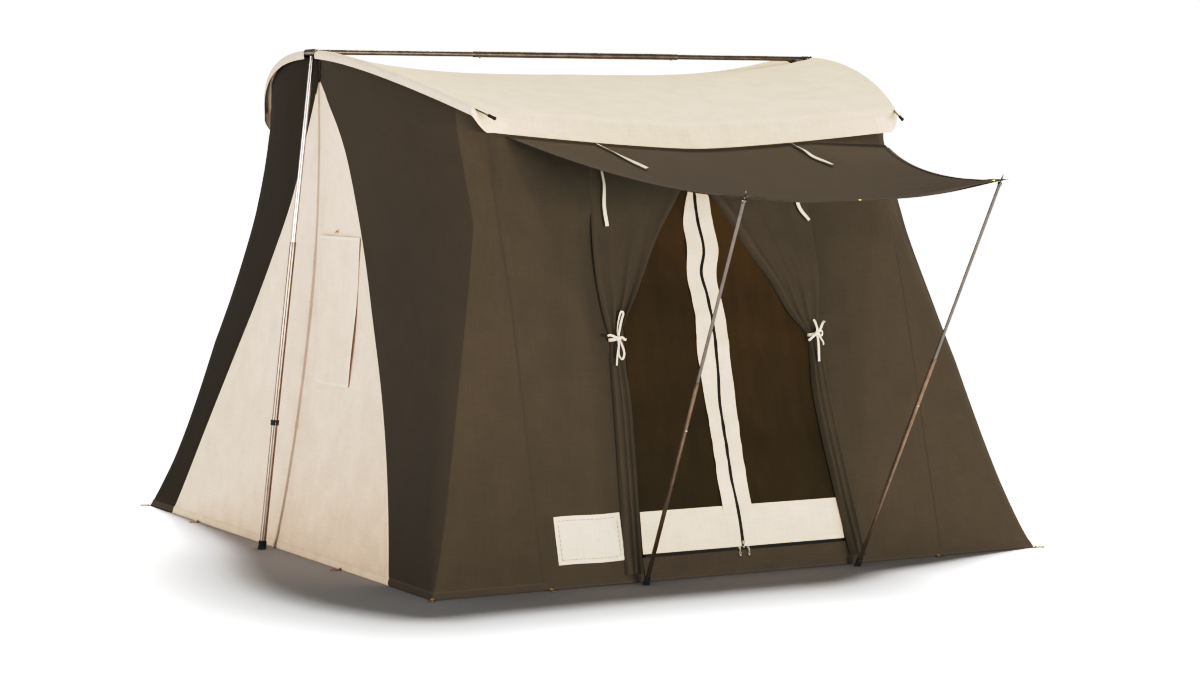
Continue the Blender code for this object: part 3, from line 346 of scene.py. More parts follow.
def canvas(name, base, rough=0.92, sheen=0.04, weave=224.0, soil=0.16, fine=0.05,
           crumple=0.25, low=0.10):
    """Plain-woven cotton: threads and slubs along the panel's own width and
    length (UV in metres), soft mottling, and soiling towards the ground."""
    mat, nt, bsdf = new_material(name)
    tc = node(nt, "ShaderNodeTexCoord")
    uv, obj = tc.outputs["UV"], tc.outputs["Object"]
    warp = node(nt, "ShaderNodeTexWave", wave_type="BANDS", bands_direction="X")
    weft = node(nt, "ShaderNodeTexWave", wave_type="BANDS", bands_direction="Y")
    for w in (warp, weft):
        w.inputs["Scale"].default_value = weave
        w.inputs["Distortion"].default_value = 0.6
        w.inputs["Detail"].default_value = 1.0
        w.inputs["Detail Scale"].default_value = 0.4
        link(nt, uv, w.inputs["Vector"])
    thread = maths(nt, "MAXIMUM", warp.outputs["Fac"], weft.outputs["Fac"])
    slub_h = noise_tex(nt, scaled(nt, uv, 9, 340), 1.0, 2, 0.6)
    slub_v = noise_tex(nt, scaled(nt, uv, 340, 7), 1.0, 2, 0.6)
    slub = maths(nt, "ADD", slub_h.outputs["Fac"], slub_v.outputs["Fac"])
    patch = noise_tex(nt, obj, 1.6, 4, 0.5, 0.3)
    mottle = noise_tex(nt, obj, 9.0, 5, 0.6)
    c = ramp(nt, patch.outputs["Fac"], [(0.30, shade(base, 1 - fine)), (0.70, shade(base, 1 + fine))]).outputs[0]
    c = multiply(nt, c, ramp(nt, mottle.outputs["Fac"], [(0.35, grey(0.94)), (0.65, grey(1.03))]).outputs[0])
    c = multiply(nt, c, ramp(nt, slub, [(0.80, grey(0.93)), (1.25, grey(1.05))]).outputs[0])
    c = multiply(nt, c, ramp(nt, thread, [(0.0, grey(0.82)), (0.8, grey(1.03))]).outputs[0], 0.8)
    # ground splash near the hem
    sep = node(nt, "ShaderNodeSeparateXYZ")
    link(nt, obj, sep.inputs[0])
    splash = noise_tex(nt, obj, 14.0, 6, 0.7)
    height = maths(nt, "SUBTRACT", low, sep.outputs["Z"])
    height = maths(nt, "DIVIDE", height, low, clamp=True)
    dirt = maths(nt, "MULTIPLY", height, splash.outputs["Fac"])
    dirt = maths(nt, "MULTIPLY", dirt, soil, clamp=True)
    c = mix_color(nt, dirt, c, (0.17, 0.12, 0.08, 1.0))
    link(nt, c, bsdf.inputs["Base Color"])
    r = ramp(nt, mottle.outputs["Fac"], [(0.3, grey(rough - 0.05)), (0.7, grey(min(1.0, rough + 0.04)))])
    link(nt, r.outputs[0], bsdf.inputs["Roughness"])
    bsdf.inputs["Sheen Weight"].default_value = sheen
    bsdf.inputs["Sheen Roughness"].default_value = 0.6
    bsdf.inputs["Specular IOR Level"].default_value = 0.2
    fold = noise_tex(nt, obj, 7.0, 4, 0.5, 0.4)
    b1 = node(nt, "ShaderNodeBump")
    b1.inputs["Strength"].default_value = crumple
    b1.inputs["Distance"].default_value = 0.006
    link(nt, fold.outputs["Fac"], b1.inputs["Height"])
    b2 = node(nt, "ShaderNodeBump")
    b2.inputs["Strength"].default_value = 0.30
    b2.inputs["Distance"].default_value = 0.0004
    link(nt, maths(nt, "ADD", thread, slub), b2.inputs["Height"])
    link(nt, b1.outputs[0], b2.inputs["Normal"])
    link(nt, b2.outputs[0], bsdf.inputs["Normal"])
    mat.diffuse_color = (*base[:3], 1.0)
    return mat


def stitched(name, base, thread, rows, width, pitch=0.0045, rough=0.9):
    """Folded seam tape: UV x runs across it in metres, UV y along it, with
    rows of stitches at the given distances from its middle."""
    mat, nt, bsdf = new_material(name)
    tc = node(nt, "ShaderNodeTexCoord")
    sep = node(nt, "ShaderNodeSeparateXYZ")
    link(nt, tc.outputs["UV"], sep.inputs[0])
    x, y = sep.outputs["X"], sep.outputs["Y"]
    along = maths(nt, "FRACT", maths(nt, "DIVIDE", y, pitch))
    on = maths(nt, "LESS_THAN", along, 0.66)
    mask = None
    for row in rows:
        near = maths(nt, "LESS_THAN", maths(nt, "ABSOLUTE", maths(nt, "SUBTRACT", x, row)), 0.0007)
        mask = near if mask is None else maths(nt, "MAXIMUM", mask, near)
    stitch = maths(nt, "MULTIPLY", mask, on)
    groove = maths(nt, "SUBTRACT", stitch, mask)
    n1 = noise_tex(nt, tc.outputs["Object"], 8.0, 4, 0.6)
    n2 = noise_tex(nt, scaled(nt, tc.outputs["UV"], 500, 30), 1.0, 2, 0.6)
    c = ramp(nt, n1.outputs["Fac"], [(0.3, shade(base, 0.93)), (0.7, shade(base, 1.06))]).outputs[0]
    c = multiply(nt, c, ramp(nt, n2.outputs["Fac"], [(0.3, grey(0.92)), (0.7, grey(1.04))]).outputs[0])
    c = mix_color(nt, stitch, c, (*thread[:3], 1.0))
    link(nt, c, bsdf.inputs["Base Color"])
    r = ramp(nt, n1.outputs["Fac"], [(0.2, grey(rough - 0.06)), (0.8, grey(rough + 0.03))])
    link(nt, r.outputs[0], bsdf.inputs["Roughness"])
    b = node(nt, "ShaderNodeBump")
    b.inputs["Strength"].default_value = 0.6
    b.inputs["Distance"].default_value = 0.0008
    link(nt, maths(nt, "ADD", groove, maths(nt, "MULTIPLY", n2.outputs["Fac"], 0.5)), b.inputs["Height"])
    link(nt, b.outputs[0], bsdf.inputs["Normal"])
    bsdf.inputs["Specular IOR Level"].default_value = 0.25
    return mat


def metal(name, base, rough, streak=0.25, spots=0.12, metallic=1.0, dark=None, turn="Z", bump=0.12):
    """Drawn steel: fine lengthwise streaks, dull handling marks, small stains."""
    mat, nt, bsdf = new_material(name)
    tc = node(nt, "ShaderNodeTexCoord")
    stretch = {"Z": (260, 260, 6), "X": (6, 260, 260), "Y": (260, 6, 260), "N": (34, 34, 34)}[turn]
    s = noise_tex(nt, scaled(nt, tc.outputs["Object"], *stretch), 1.0, 3, 0.6)
    p = noise_tex(nt, tc.outputs["Object"], 23.0, 5, 0.65)
    m = noise_tex(nt, tc.outputs["Object"], 90.0, 6, 0.7)
    c = ramp(nt, s.outputs["Fac"], [(0.25, shade(base, 1 - streak)), (0.75, shade(base, 1 + streak * 0.5))]).outputs[0]
    c = multiply(nt, c, ramp(nt, p.outputs["Fac"], [(0.35, grey(1 - spots)), (0.65, grey(1.0))]).outputs[0])
    if dark is not None:
        k = ramp(nt, m.outputs["Fac"], [(0.62, grey(0.0)), (0.72, grey(0.6))])
        c = mix_color(nt, k.outputs[0], c, (*dark[:3], 1.0))
    link(nt, c, bsdf.inputs["Base Color"])
    bsdf.inputs["Metallic"].default_value = metallic
    r = ramp(nt, maths(nt, "MULTIPLY", maths(nt, "ADD", s.outputs["Fac"], p.outputs["Fac"]), 0.5),
             [(0.3, grey(rough * (1 - 2 * bump))), (0.7, grey(min(1.0, rough * (1 + 3 * bump))))])
    link(nt, r.outputs[0], bsdf.inputs["Roughness"])
    b = node(nt, "ShaderNodeBump")
    b.inputs["Strength"].default_value = bump
    b.inputs["Distance"].default_value = 0.0004
    link(nt, s.outputs["Fac"], b.inputs["Height"])
    link(nt, b.outputs[0], bsdf.inputs["Normal"])
    return mat


def moulded(name, base, rough=0.6, grain=420.0, dust=0.25, spec=0.4):
    """Moulded rubber or plastic: fine grain, dulled and dusty in patches."""
    mat, nt, bsdf = new_material(name)
    tc = node(nt, "ShaderNodeTexCoord")
    g = noise_tex(nt, tc.outputs["Object"], grain, 3, 0.6)
    p = noise_tex(nt, tc.outputs["Object"], 60.0, 5, 0.65)
    c = ramp(nt, p.outputs["Fac"], [(0.3, shade(base, 0.8)), (0.75, shade(base, 1.35))]).outputs[0]
    k = ramp(nt, p.outputs["Fac"], [(0.55, grey(0.0)), (0.8, grey(dust))])
    c = mix_color(nt, k.outputs[0], c, (0.20, 0.17, 0.14, 1.0))
    link(nt, c, bsdf.inputs["Base Color"])
    r = ramp(nt, p.outputs["Fac"], [(0.3, grey(rough - 0.1)), (0.7, grey(min(1.0, rough + 0.15)))])
    link(nt, r.outputs[0], bsdf.inputs["Roughness"])
    bsdf.inputs["Specular IOR Level"].default_value = spec
    b = node(nt, "ShaderNodeBump")
    b.inputs["Strength"].default_value = 0.25
    b.inputs["Distance"].default_value = 0.0003
    link(nt, g.outputs["Fac"], b.inputs["Height"])
    link(nt, b.outputs[0], bsdf.inputs["Normal"])
    return mat


def mesh_net(name, base):
    """Fine insect net seen against a dark cabin: open grid with a faint sheen; the cabin's shade is painted into it,
    darker low down.
    """
    mat, nt, bsdf = new_material(name)
    tc = node(nt, "ShaderNodeTexCoord")
    uv = tc.outputs["UV"]
    a = node(nt, "ShaderNodeTexWave", wave_type="BANDS", bands_direction="X")
    b_ = node(nt, "ShaderNodeTexWave", wave_type="BANDS", bands_direction="Y")
    for w in (a, b_):
        w.inputs["Scale"].default_value = 175.0
        link(nt, uv, w.inputs["Vector"])
    grid = maths(nt, "MAXIMUM", a.outputs["Fac"], b_.outputs["Fac"])
    soft = noise_tex(nt, tc.outputs["Object"], 2.2, 4, 0.55, 0.4)
    streak = noise_tex(nt, scaled(nt, tc.outputs["Object"], 22, 22, 1.2), 1.0, 3, 0.6)
    c = ramp(nt, soft.outputs["Fac"], [(0.3, shade(base, 0.78)), (0.7, shade(base, 1.25))]).outputs[0]
    c = multiply(nt, c, ramp(nt, grid, [(0.45, grey(0.55)), (0.95, grey(1.15))]).outputs[0])
    c = multiply(nt, c, ramp(nt, streak.outputs["Fac"], [(0.3, grey(0.86)), (0.7, grey(1.05))]).outputs[0])
    sep = node(nt, "ShaderNodeSeparateXYZ")    # painted shade: the net is darker and bluer low down, for the dark cabin behind it
    link(nt, tc.outputs["Object"], sep.inputs[0])
    painted_cabin_shade = maths(nt, "ADD", maths(nt, "MULTIPLY", sep.outputs["Z"], 0.62), maths(nt, "MULTIPLY", soft.outputs["Fac"], 0.25))
    c = multiply(nt, c, ramp(nt, painted_cabin_shade, [(0.30, (0.66, 0.74, 0.90)), (0.85, (1.12, 1.04, 0.98))]).outputs[0])
    link(nt, c, bsdf.inputs["Base Color"])
    r = ramp(nt, soft.outputs["Fac"], [(0.3, grey(0.72)), (0.7, grey(0.88))])
    link(nt, r.outputs[0], bsdf.inputs["Roughness"])
    bsdf.inputs["Specular IOR Level"].default_value = 0.15
    b = node(nt, "ShaderNodeBump")
    b.inputs["Strength"].default_value = 0.35
    b.inputs["Distance"].default_value = 0.0005
    link(nt, grid, b.inputs["Height"])
    link(nt, b.outputs[0], bsdf.inputs["Normal"])
    return mat


# painted shade: the one brown canvas also comes in darker copies, for the rear wall and for the side parts of the
# corner panels, darkest at the rear corners
BROWN = (0.092, 0.073, 0.047)
BROWN_PAINTED_SHADE_SIDE = (0.037, 0.027, 0.015)
BROWN_PAINTED_SHADE_CORNER = (0.066, 0.050, 0.033)
# painted light and shade: the one cream cloth is lighter on the roof and darker on the roof's sleeves than on the
# gables
CREAM = (0.69, 0.56, 0.465)
CREAM_LIT = (0.75, 0.625, 0.48)
MAT_BROWN = canvas("brown_canvas", BROWN)
MAT_BROWN_PAINTED_SHADE_REAR = canvas("brown_canvas_rear_painted_shade", (0.070, 0.055, 0.036))
MAT_BROWN_PAINTED_SHADE_SIDE = canvas("brown_canvas_side_painted_shade", BROWN_PAINTED_SHADE_SIDE)
MAT_BROWN_PAINTED_SHADE_CORNER = canvas("brown_canvas_corner_painted_shade", BROWN_PAINTED_SHADE_CORNER)
MAT_AWNING = canvas("awning_canvas_weave", (0.082, 0.062, 0.034))
MAT_CREAM = canvas("cream_canvas", CREAM, fine=0.025, soil=0.12, low=0.05)
MAT_ROOF = canvas("roof_canvas_weave", CREAM_LIT, fine=0.02, crumple=0.12)
MAT_SLEEVE_PAINTED_SHADE = canvas("sleeve_canvas_painted_shade", (0.60, 0.50, 0.42), fine=0.02, crumple=0.12)
for shaded, level in ((MAT_BROWN_PAINTED_SHADE_SIDE, 0.12), (MAT_BROWN_PAINTED_SHADE_CORNER, 0.25), (MAT_AWNING, 0.25)):
    for part in shaded.node_tree.nodes:      # less specular on the painted-shade copies of the brown, part of their painted shade, and on the awning cloth
        if part.type == "BSDF_PRINCIPLED":
            part.inputs["Specular IOR Level"].default_value = level
MAT_FACING = canvas("cream_facing", (0.68, 0.575, 0.465), fine=0.02, soil=0.12)
MAT_LABEL = canvas("patch_cloth", (0.70, 0.61, 0.50), fine=0.02, weave=300.0)
MAT_FLOOR = canvas("floor_vinyl_cloth", (0.16, 0.15, 0.14), rough=0.6, sheen=0.0, soil=0.5)
MAT_NET = mesh_net("insect_net", (0.070, 0.043, 0.014))
MAT_SEAM_BROWN = stitched("seam_brown", (0.080, 0.063, 0.043), (0.115, 0.092, 0.066), (-0.0020, 0.0020), 0.008)
MAT_SEAM_CREAM = stitched("seam_cream", (0.69, 0.60, 0.50), (0.52, 0.44, 0.36), (-0.0045, 0.0045), 0.014)
MAT_TAPE = stitched("cotton_tape", (0.72, 0.65, 0.55), (0.58, 0.50, 0.42), (-0.0055, 0.0055), 0.016, pitch=0.003)
MAT_WEBBING = stitched("webbing_tan", (0.30, 0.22, 0.13), (0.45, 0.36, 0.24), (-0.006, 0.006), 0.02)
MAT_CHROME = metal("chromed_tube", (0.42, 0.40, 0.39), 0.28, streak=0.04, spots=0.05, turn="N", bump=0.01)
MAT_ZINC = metal("zinc_tube", (0.29, 0.25, 0.215), 0.32, streak=0.12, spots=0.12, dark=(0.24, 0.19, 0.15), turn="N", bump=0.03)
# painted reflection: the lower awning tubes' warm brown tone stands in for the brown tent they reflect
MAT_POLE = metal("awning_tube", (0.30, 0.225, 0.165), 0.34, streak=0.16, spots=0.16, dark=(0.13, 0.095, 0.07), turn="N", bump=0.04)
MAT_POLE_UP = metal("awning_tube_upper", (0.25, 0.225, 0.205), 0.32, streak=0.12, spots=0.12, turn="N", bump=0.03)
MAT_RIDGE = metal("ridge_tube_steel", (0.27, 0.235, 0.20), 0.34, streak=0.28, spots=0.2, turn="X", dark=(0.12, 0.09, 0.065))
MAT_SPRING = metal("spring_rod", (0.24, 0.215, 0.19), 0.40, streak=0.25, spots=0.2, turn="Y")
MAT_ZIPPULL = metal("zip_pull_metal", (0.50, 0.47, 0.43), 0.30, streak=0.2, spots=0.1)
MAT_BRASS = metal("brass_eyelet", (0.62, 0.42, 0.16), 0.32, streak=0.15, spots=0.2, dark=(0.25, 0.14, 0.05))
MAT_WIRE = metal("ring_wire_metal", (0.47, 0.36, 0.21), 0.38, streak=0.2, spots=0.2, dark=(0.2, 0.13, 0.07))
MAT_RUBBER = moulded("black_rubber_grain", (0.012, 0.012, 0.012), 0.75, dust=0.4)
MAT_PLASTIC = moulded("black_plastic_grain", (0.014, 0.014, 0.015), 0.5, dust=0.12)
MAT_ZIP = moulded("zip_coil_black", (0.006, 0.0055, 0.005), 0.55, grain=900.0, dust=0.05)
MAT_WOOD = moulded("toggle_wood", (0.32, 0.19, 0.09), 0.6, grain=300.0, dust=0.1)


# ------------------------------------------------------------ mesh helpers
def add_object(name, mesh, mats, body, replaces=(), smooth=True, angle=40):
    obj = bpy.data.objects.new(name, mesh)
    bpy.context.scene.collection.objects.link(obj)
    for m in mats if isinstance(mats, (list, tuple)) else [mats]:
        mesh.materials.append(m)
    if smooth:
        mesh.shade_smooth()
        mesh.set_sharp_from_angle(angle=math.radians(angle))
    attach(obj, body)
    if replaces:
        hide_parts(*replaces)
    return obj


def grid_normal(P):
    du = np.gradient(P, axis=1)
    dv = np.gradient(P, axis=0)
    n = np.cross(du, dv)
    length = np.linalg.norm(n, axis=2, keepdims=True)
    return n / np.maximum(length, 1e-12)


def grid_uv(P):
    """Metres along and across a grid of points, from its own middle lines."""
    rows, cols = P.shape[:2]
    step_u = np.linalg.norm(np.diff(P, axis=1), axis=2)
    step_v = np.linalg.norm(np.diff(P, axis=0), axis=2)
    u = np.concatenate([np.zeros((rows, 1)), np.cumsum(step_u, axis=1)], axis=1)
    u = u - u[:, cols // 2][:, None]
    v = np.concatenate([np.zeros((1, cols)), np.cumsum(step_v, axis=0)], axis=0)
    return np.stack([u, v], axis=2)


SKINS = {}     # the finished face of each sheet: points and normals, by name


def skin(name, P, outward, mats, body, disp=None, thick=0.0012,
         replaces=(), mask=None, floor_clip=True, mat_of=None, uv=None):
    """A thin closed sheet on a grid of points.  outward is a vector that
    points roughly out of its face; disp moves the face along its normal."""
    P = np.array(P, float)
    rows, cols = P.shape[:2]
    N = grid_normal(P)
    if (N.reshape(-1, 3) @ np.array(outward, float)).sum() < 0:
        N = -N
    if disp is not None:
        P = P + N * disp[:, :, None]
        M = grid_normal(P)
        if (M * N).sum() < 0:
            M = -M
        N = M
    SKINS[name] = (P.copy(), N.copy())
    UV = grid_uv(P) if uv is None else uv
    Q = P - N * thick
    if floor_clip:
        P[:, :, 2] = np.maximum(P[:, :, 2], 0.0)
        Q[:, :, 2] = np.maximum(Q[:, :, 2], 0.0)
    if mask is None:
        mask = np.ones((rows - 1, cols - 1), bool)
    used = np.zeros((rows, cols), bool)
    for a in (0, 1):
        for b in (0, 1):
            used[a:rows - 1 + a, b:cols - 1 + b] |= mask
    index = -np.ones((rows, cols), int)
    index[used] = np.arange(used.sum())
    count = int(used.sum())
    verts = np.concatenate([P[used], Q[used]])
    flip = np.cross(P[rows // 2, cols // 2 + (1 if cols > 2 else 0) - (cols // 2 + 1 >= cols)] - P[rows // 2, cols // 2 - 1],
                    P[min(rows - 1, rows // 2 + 1), cols // 2 - 1] - P[rows // 2, cols // 2 - 1]) @ N[rows // 2, cols // 2 - 1] < 0
    faces, uvs, mat_index = [], [], []
    edges = {}
    I, J = np.nonzero(mask)
    for i, j in zip(I, J):
        ring = [(i, j), (i, j + 1), (i + 1, j + 1), (i + 1, j)]
        if flip:
            ring = ring[::-1]
        ids = [index[r] for r in ring]
        faces.append(ids)
        uvs.append([UV[r] for r in ring])
        faces.append([k + count for k in reversed(ids)])
        uvs.append([UV[r] for r in reversed(ring)])
        m = 0 if mat_of is None else int(mat_of[i, j])
        mat_index += [m, m]
        for a, b in zip(ring, ring[1:] + ring[:1]):
            if (b, a) in edges:
                del edges[(b, a)]
            else:
                edges[(a, b)] = m
    for (a, b), m in edges.items():
        faces.append([index[b], index[a], index[a] + count, index[b] + count])
        uvs.append([UV[b], UV[a], UV[a], UV[b]])
        mat_index.append(m)
    mesh = bpy.data.meshes.new(name)
    mesh.from_pydata(verts.tolist(), [], [[int(k) for k in f] for f in faces])
    layer = mesh.uv_layers.new(name="cloth")
    flat = [c for ring in uvs for p in ring for c in p]
    layer.data.foreach_set("uv", np.array(flat, np.float32))
    mesh.polygons.foreach_set("material_index", np.array(mat_index, np.int32))
    mesh.update()
    return add_object(name, mesh, mats, body, replaces)


def ribbon_mesh(verts, faces, uvs, mats_i, path, across, up, width, height, mat=0, crown=5, v0=0.0,
                ends=True):
    """A flat crowned ribbon with closed sides along a path."""
    path = np.array(path, float)
    across = np.array(across, float)
    up = np.array(up, float)
    n = len(path)
    run = np.concatenate(([0.0], np.cumsum(np.linalg.norm(np.diff(path, axis=0), axis=1)))) + v0
    base = len(verts)
    xs = np.linspace(-1, 1, crown)
    width = np.broadcast_to(np.array(width, float), (n,))
    ring = crown * 2
    for k in range(n):
        for x in xs:
            verts.append(path[k] + across[k] * x * width[k] / 2 + up[k] * height * (1 - 0.55 * x ** 4))
        for x in xs[::-1]:
            verts.append(path[k] + across[k] * x * width[k] / 2 - up[k] * height * 0.15)
    u_of = [x * 0.5 for x in xs] + [x * 0.5 for x in xs[::-1]]
    for k in range(n - 1):
        for r in range(ring):
            s = (r + 1) % ring
            faces.append([base + k * ring + r, base + k * ring + s,
                          base + (k + 1) * ring + s, base + (k + 1) * ring + r])
            uvs.append([(u_of[r] * width[k], run[k]), (u_of[s] * width[k], run[k]),
                        (u_of[s] * width[k + 1], run[k + 1]), (u_of[r] * width[k + 1], run[k + 1])])
            mats_i.append(mat)
    for k, order in ((0, range(ring - 1, -1, -1)), (n - 1, range(ring))):
        ids = [base + k * ring + r for r in order]
        faces.append(ids)
        uvs.append([(u_of[r] * width[k], run[k]) for r in order])
        mats_i.append(mat)


class Bag:
    """Collects faces of several shapes into one object."""

    def __init__(self):
        self.v, self.f, self.uv, self.m = [], [], [], []

    def ribbon(self, path, across, up, width, height, mat=0, **k):
        ribbon_mesh(self.v, self.f, self.uv, self.m, path, across, up, width, height, mat, **k)

    def lathe(self, base, direction, profile, n=20, mat=0, closed=False):
        base, d = np.array(base, float), np.array(direction, float)
        d = d / np.linalg.norm(d)
        side = np.array((0, 1, 0.0)) if abs(d[1]) < 0.9 else np.array((1.0, 0, 0))
        u = side - d * (side @ d)
        u /= np.linalg.norm(u)
        w = np.cross(d, u)
        rings = []
        for radius, dist in profile:
            c = base + d * dist
            if radius <= 0:
                rings.append([len(self.v)])
                self.v.append(c)
            else:
                start = len(self.v)
                for k in range(n):
                    a = 2 * math.pi * k / n
                    self.v.append(c + u * radius * math.cos(a) + w * radius * math.sin(a))
                rings.append(list(range(start, start + n)))
        pairs = list(zip(range(len(rings) - 1), range(1, len(rings))))
        if closed:
            pairs.append((len(rings) - 1, 0))
        for i, j in pairs:
            a, b = rings[i], rings[j]
            d0, d1 = profile[i][1], profile[j][1]
            for k in range(n):
                m = (k + 1) % n
                if len(a) == 1 and len(b) == 1:
                    continue
                if len(a) == 1:
                    ids = [a[0], b[m], b[k]]
                elif len(b) == 1:
                    ids = [a[k], a[m], b[0]]
                else:
                    ids = [a[k], a[m], b[m], b[k]]
                self.f.append(ids)
                self.uv.append([(k / n * 0.06, d0 if q in a else d1) for q in ids])
                self.m.append(mat)

    def sweep(self, path, radius, n=8, mat=0, closed=False, flat=1.0, normal=None):
        """Round or flattened wire along a path."""
        pts = np.array(path, float)
        count = len(pts)
        if closed:
            tan = np.roll(pts, -1, 0) - np.roll(pts, 1, 0)
        else:
            tan = np.gradient(pts, axis=0)
        tan /= np.linalg.norm(tan, axis=1, keepdims=True)
        radius = np.broadcast_to(np.array(radius, float), (count,))
        u = np.array(normal, float) if normal is not None else (
            np.array((0, 0, 1.0)) if abs(tan[0][2]) < 0.9 else np.array((1.0, 0, 0)))
        start = len(self.v)
        run = np.concatenate(([0.0], np.cumsum(np.linalg.norm(np.diff(pts, axis=0), axis=1))))
        for i in range(count):
            u = u - tan[i] * (u @ tan[i])
            u /= np.linalg.norm(u)
            w = np.cross(tan[i], u)
            for k in range(n):
                a = 2 * math.pi * k / n
                self.v.append(pts[i] + u * radius[i] * flat * math.cos(a) + w * radius[i] * math.sin(a))
        steps = count if closed else count - 1
        for i in range(steps):
            j = (i + 1) % count
            for k in range(n):
                m = (k + 1) % n
                self.f.append([start + i * n + k, start + i * n + m, start + j * n + m, start + j * n + k])
                r0, r1 = run[i], run[i] + 0.003 if closed and j == 0 else run[j]
                self.uv.append([(k / n * 0.02, r0), ((k + 1) / n * 0.02, r0), ((k + 1) / n * 0.02, r1), (k / n * 0.02, r1)])
                self.m.append(mat)
        if not closed:
            for i, order in ((0, range(n - 1, -1, -1)), (count - 1, range(n))):
                self.f.append([start + i * n + k for k in order])
                self.uv.append([(k / n * 0.02, run[i]) for k in order])
                self.m.append(mat)

    def block(self, center, axes, size, mat=0, bevel=0.15):
        """A small bevelled block: axes are three unit vectors, size its sides."""
        c = np.array(center, float)
        a = [np.array(x, float) for x in axes]
        b = min(size) * bevel
        start = len(self.v)
        for sz, inset in ((-1, b), (-1, 0), (1, 0), (1, b)):
            dz = sz * (size[2] / 2 - (0 if inset else b))
            for sx, sy in ((-1, -1), (1, -1), (1, 1), (-1, 1)):
                self.v.append(c + a[0] * sx * (size[0] / 2 - inset) + a[1] * sy * (size[1] / 2 - inset) + a[2] * dz)
        for k in range(3):
            for r in range(4):
                s = (r + 1) % 4
                self.f.append([start + k * 4 + r, start + k * 4 + s, start + (k + 1) * 4 + s, start + (k + 1) * 4 + r])
                self.uv.append([(0, 0), (size[0], 0), (size[0], size[2]), (0, size[2])])
                self.m.append(mat)
        self.f.append([start + 3, start + 2, start + 1, start])
        self.f.append([start + 12, start + 13, start + 14, start + 15])
        self.uv += [[(0, 0), (size[0], 0), (size[0], size[1]), (0, size[1])]] * 2
        self.m += [mat, mat]

    def make(self, name, mats, body, slot=None, replaces=(), floor_clip=True, angle=40):
        verts = np.array(self.v, float)
        if floor_clip:
            verts[:, 2] = np.maximum(verts[:, 2], 0.0)
        mesh = bpy.data.meshes.new(name)
        mesh.from_pydata(verts.tolist(), [], [[int(k) for k in f] for f in self.f])
        layer = mesh.uv_layers.new(name="cloth")
        layer.data.foreach_set("uv", np.array([c for ring in self.uv for p in ring for c in p], np.float32))
        mesh.polygons.foreach_set("material_index", np.array(self.m, np.int32))
        bm = bmesh.new()
        bm.from_mesh(mesh)
        bmesh.ops.recalc_face_normals(bm, faces=bm.faces)
        bm.to_mesh(mesh)
        bm.free()
        mesh.update()
        return add_object(name, mesh, mats, body, replaces, angle=angle)


def unit(v):
    v = np.array(v, float)
    return v / np.maximum(np.linalg.norm(v, axis=-1, keepdims=True), 1e-12)


def bump_line(x, z, points, width, depth):
    """Depth of a soft crease along a broken line of (x, z) points."""
    out = np.zeros_like(x)
    for (x0, z0), (x1, z1) in zip(points, points[1:]):
        dx, dz = x1 - x0, z1 - z0
        t = np.clip(((x - x0) * dx + (z - z0) * dz) / (dx * dx + dz * dz), 0, 1)
        d2 = (x - x0 - t * dx) ** 2 + (z - z0 - t * dz) ** 2
        out = np.maximum(out, np.exp(-d2 / (2 * width * width)))
    return out * depth


def soft_noise(P, scale, seed=0.0, stretch=(1, 1, 1)):
    flat = P.reshape(-1, 3) * np.array(stretch) * scale + seed
    return np.array([mnoise.noise(Vector(p)) for p in flat]).reshape(P.shape[:2])


# ------------------------------------------------------------ camera, light, floor
cam_data = bpy.data.cameras.new("camera")
cam_data.sensor_width = 36.0
cam_data.sensor_fit = "HORIZONTAL"
cam_data.lens = 2843.6 / 1200 * 36.0
cam_data.clip_end = 100.0
cam = bpy.data.objects.new("camera", cam_data)
bpy.context.scene.collection.objects.link(cam)
bpy.context.scene.camera = cam
yaw, pitch, roll = 0.5060, -0.0753, 0.0008
fwd = Vector((math.sin(yaw) * math.cos(pitch), math.cos(yaw) * math.cos(pitch), math.sin(pitch)))
rgt = Vector((math.cos(yaw), -math.sin(yaw), 0.0))
upv = rgt.cross(fwd)
right_r = rgt * math.cos(roll) + upv * math.sin(roll)
up_r = upv * math.cos(roll) - rgt * math.sin(roll)
m3 = Matrix((right_r, up_r, -fwd)).transposed()
cam.matrix_world = Matrix.Translation((-5.821, -10.779, 1.7313)) @ m3.to_4x4()

world = bpy.data.worlds.new("studio")
bpy.context.scene.world = world
world.use_nodes = True
wn = world.node_tree
back = wn.nodes["Background"]
back.inputs[0].default_value = (1.0, 0.985, 0.965, 1.0)
back.inputs[1].default_value = 0.29
seen = wn.nodes.new("ShaderNodeBackground")   # the white sweep behind the tent
seen.inputs[0].default_value = (1.0, 1.0, 1.0, 1.0)
seen.inputs[1].default_value = 1.05
light_path, both = wn.nodes.new("ShaderNodeLightPath"), wn.nodes.new("ShaderNodeMixShader")
wn.links.new(light_path.outputs["Is Camera Ray"], both.inputs[0])
wn.links.new(back.outputs[0], both.inputs[1])
wn.links.new(seen.outputs[0], both.inputs[2])
wn.links.new(both.outputs[0], wn.nodes["World Output"].inputs[0])
look = bpy.context.scene.view_settings
look.view_transform = "Standard"
look.look = "None"
look.use_curve_mapping = True   # a print-like tone curve, the same in every view
tone = look.curve_mapping.curves[3]
for px, py in ((0.04, 0.022), (0.08, 0.050), (0.12, 0.090), (0.25, 0.29), (0.5, 0.655), (0.7, 0.79), (0.85, 0.885)):
    tone.points.new(px, py)
look.curve_mapping.update()


def area_light(name, at, aim, size, power, color=(1, 1, 1)):
    data = bpy.data.lights.new(name, "AREA")
    data.shape = "DISK"
    data.size = size
    data.energy = power
    data.color = color
    obj = bpy.data.objects.new(name, data)
    obj.location = at
    obj.rotation_euler = (Vector(aim) - Vector(at)).to_track_quat("-Z", "Y").to_euler()
    bpy.context.scene.collection.objects.link(obj)
    return obj


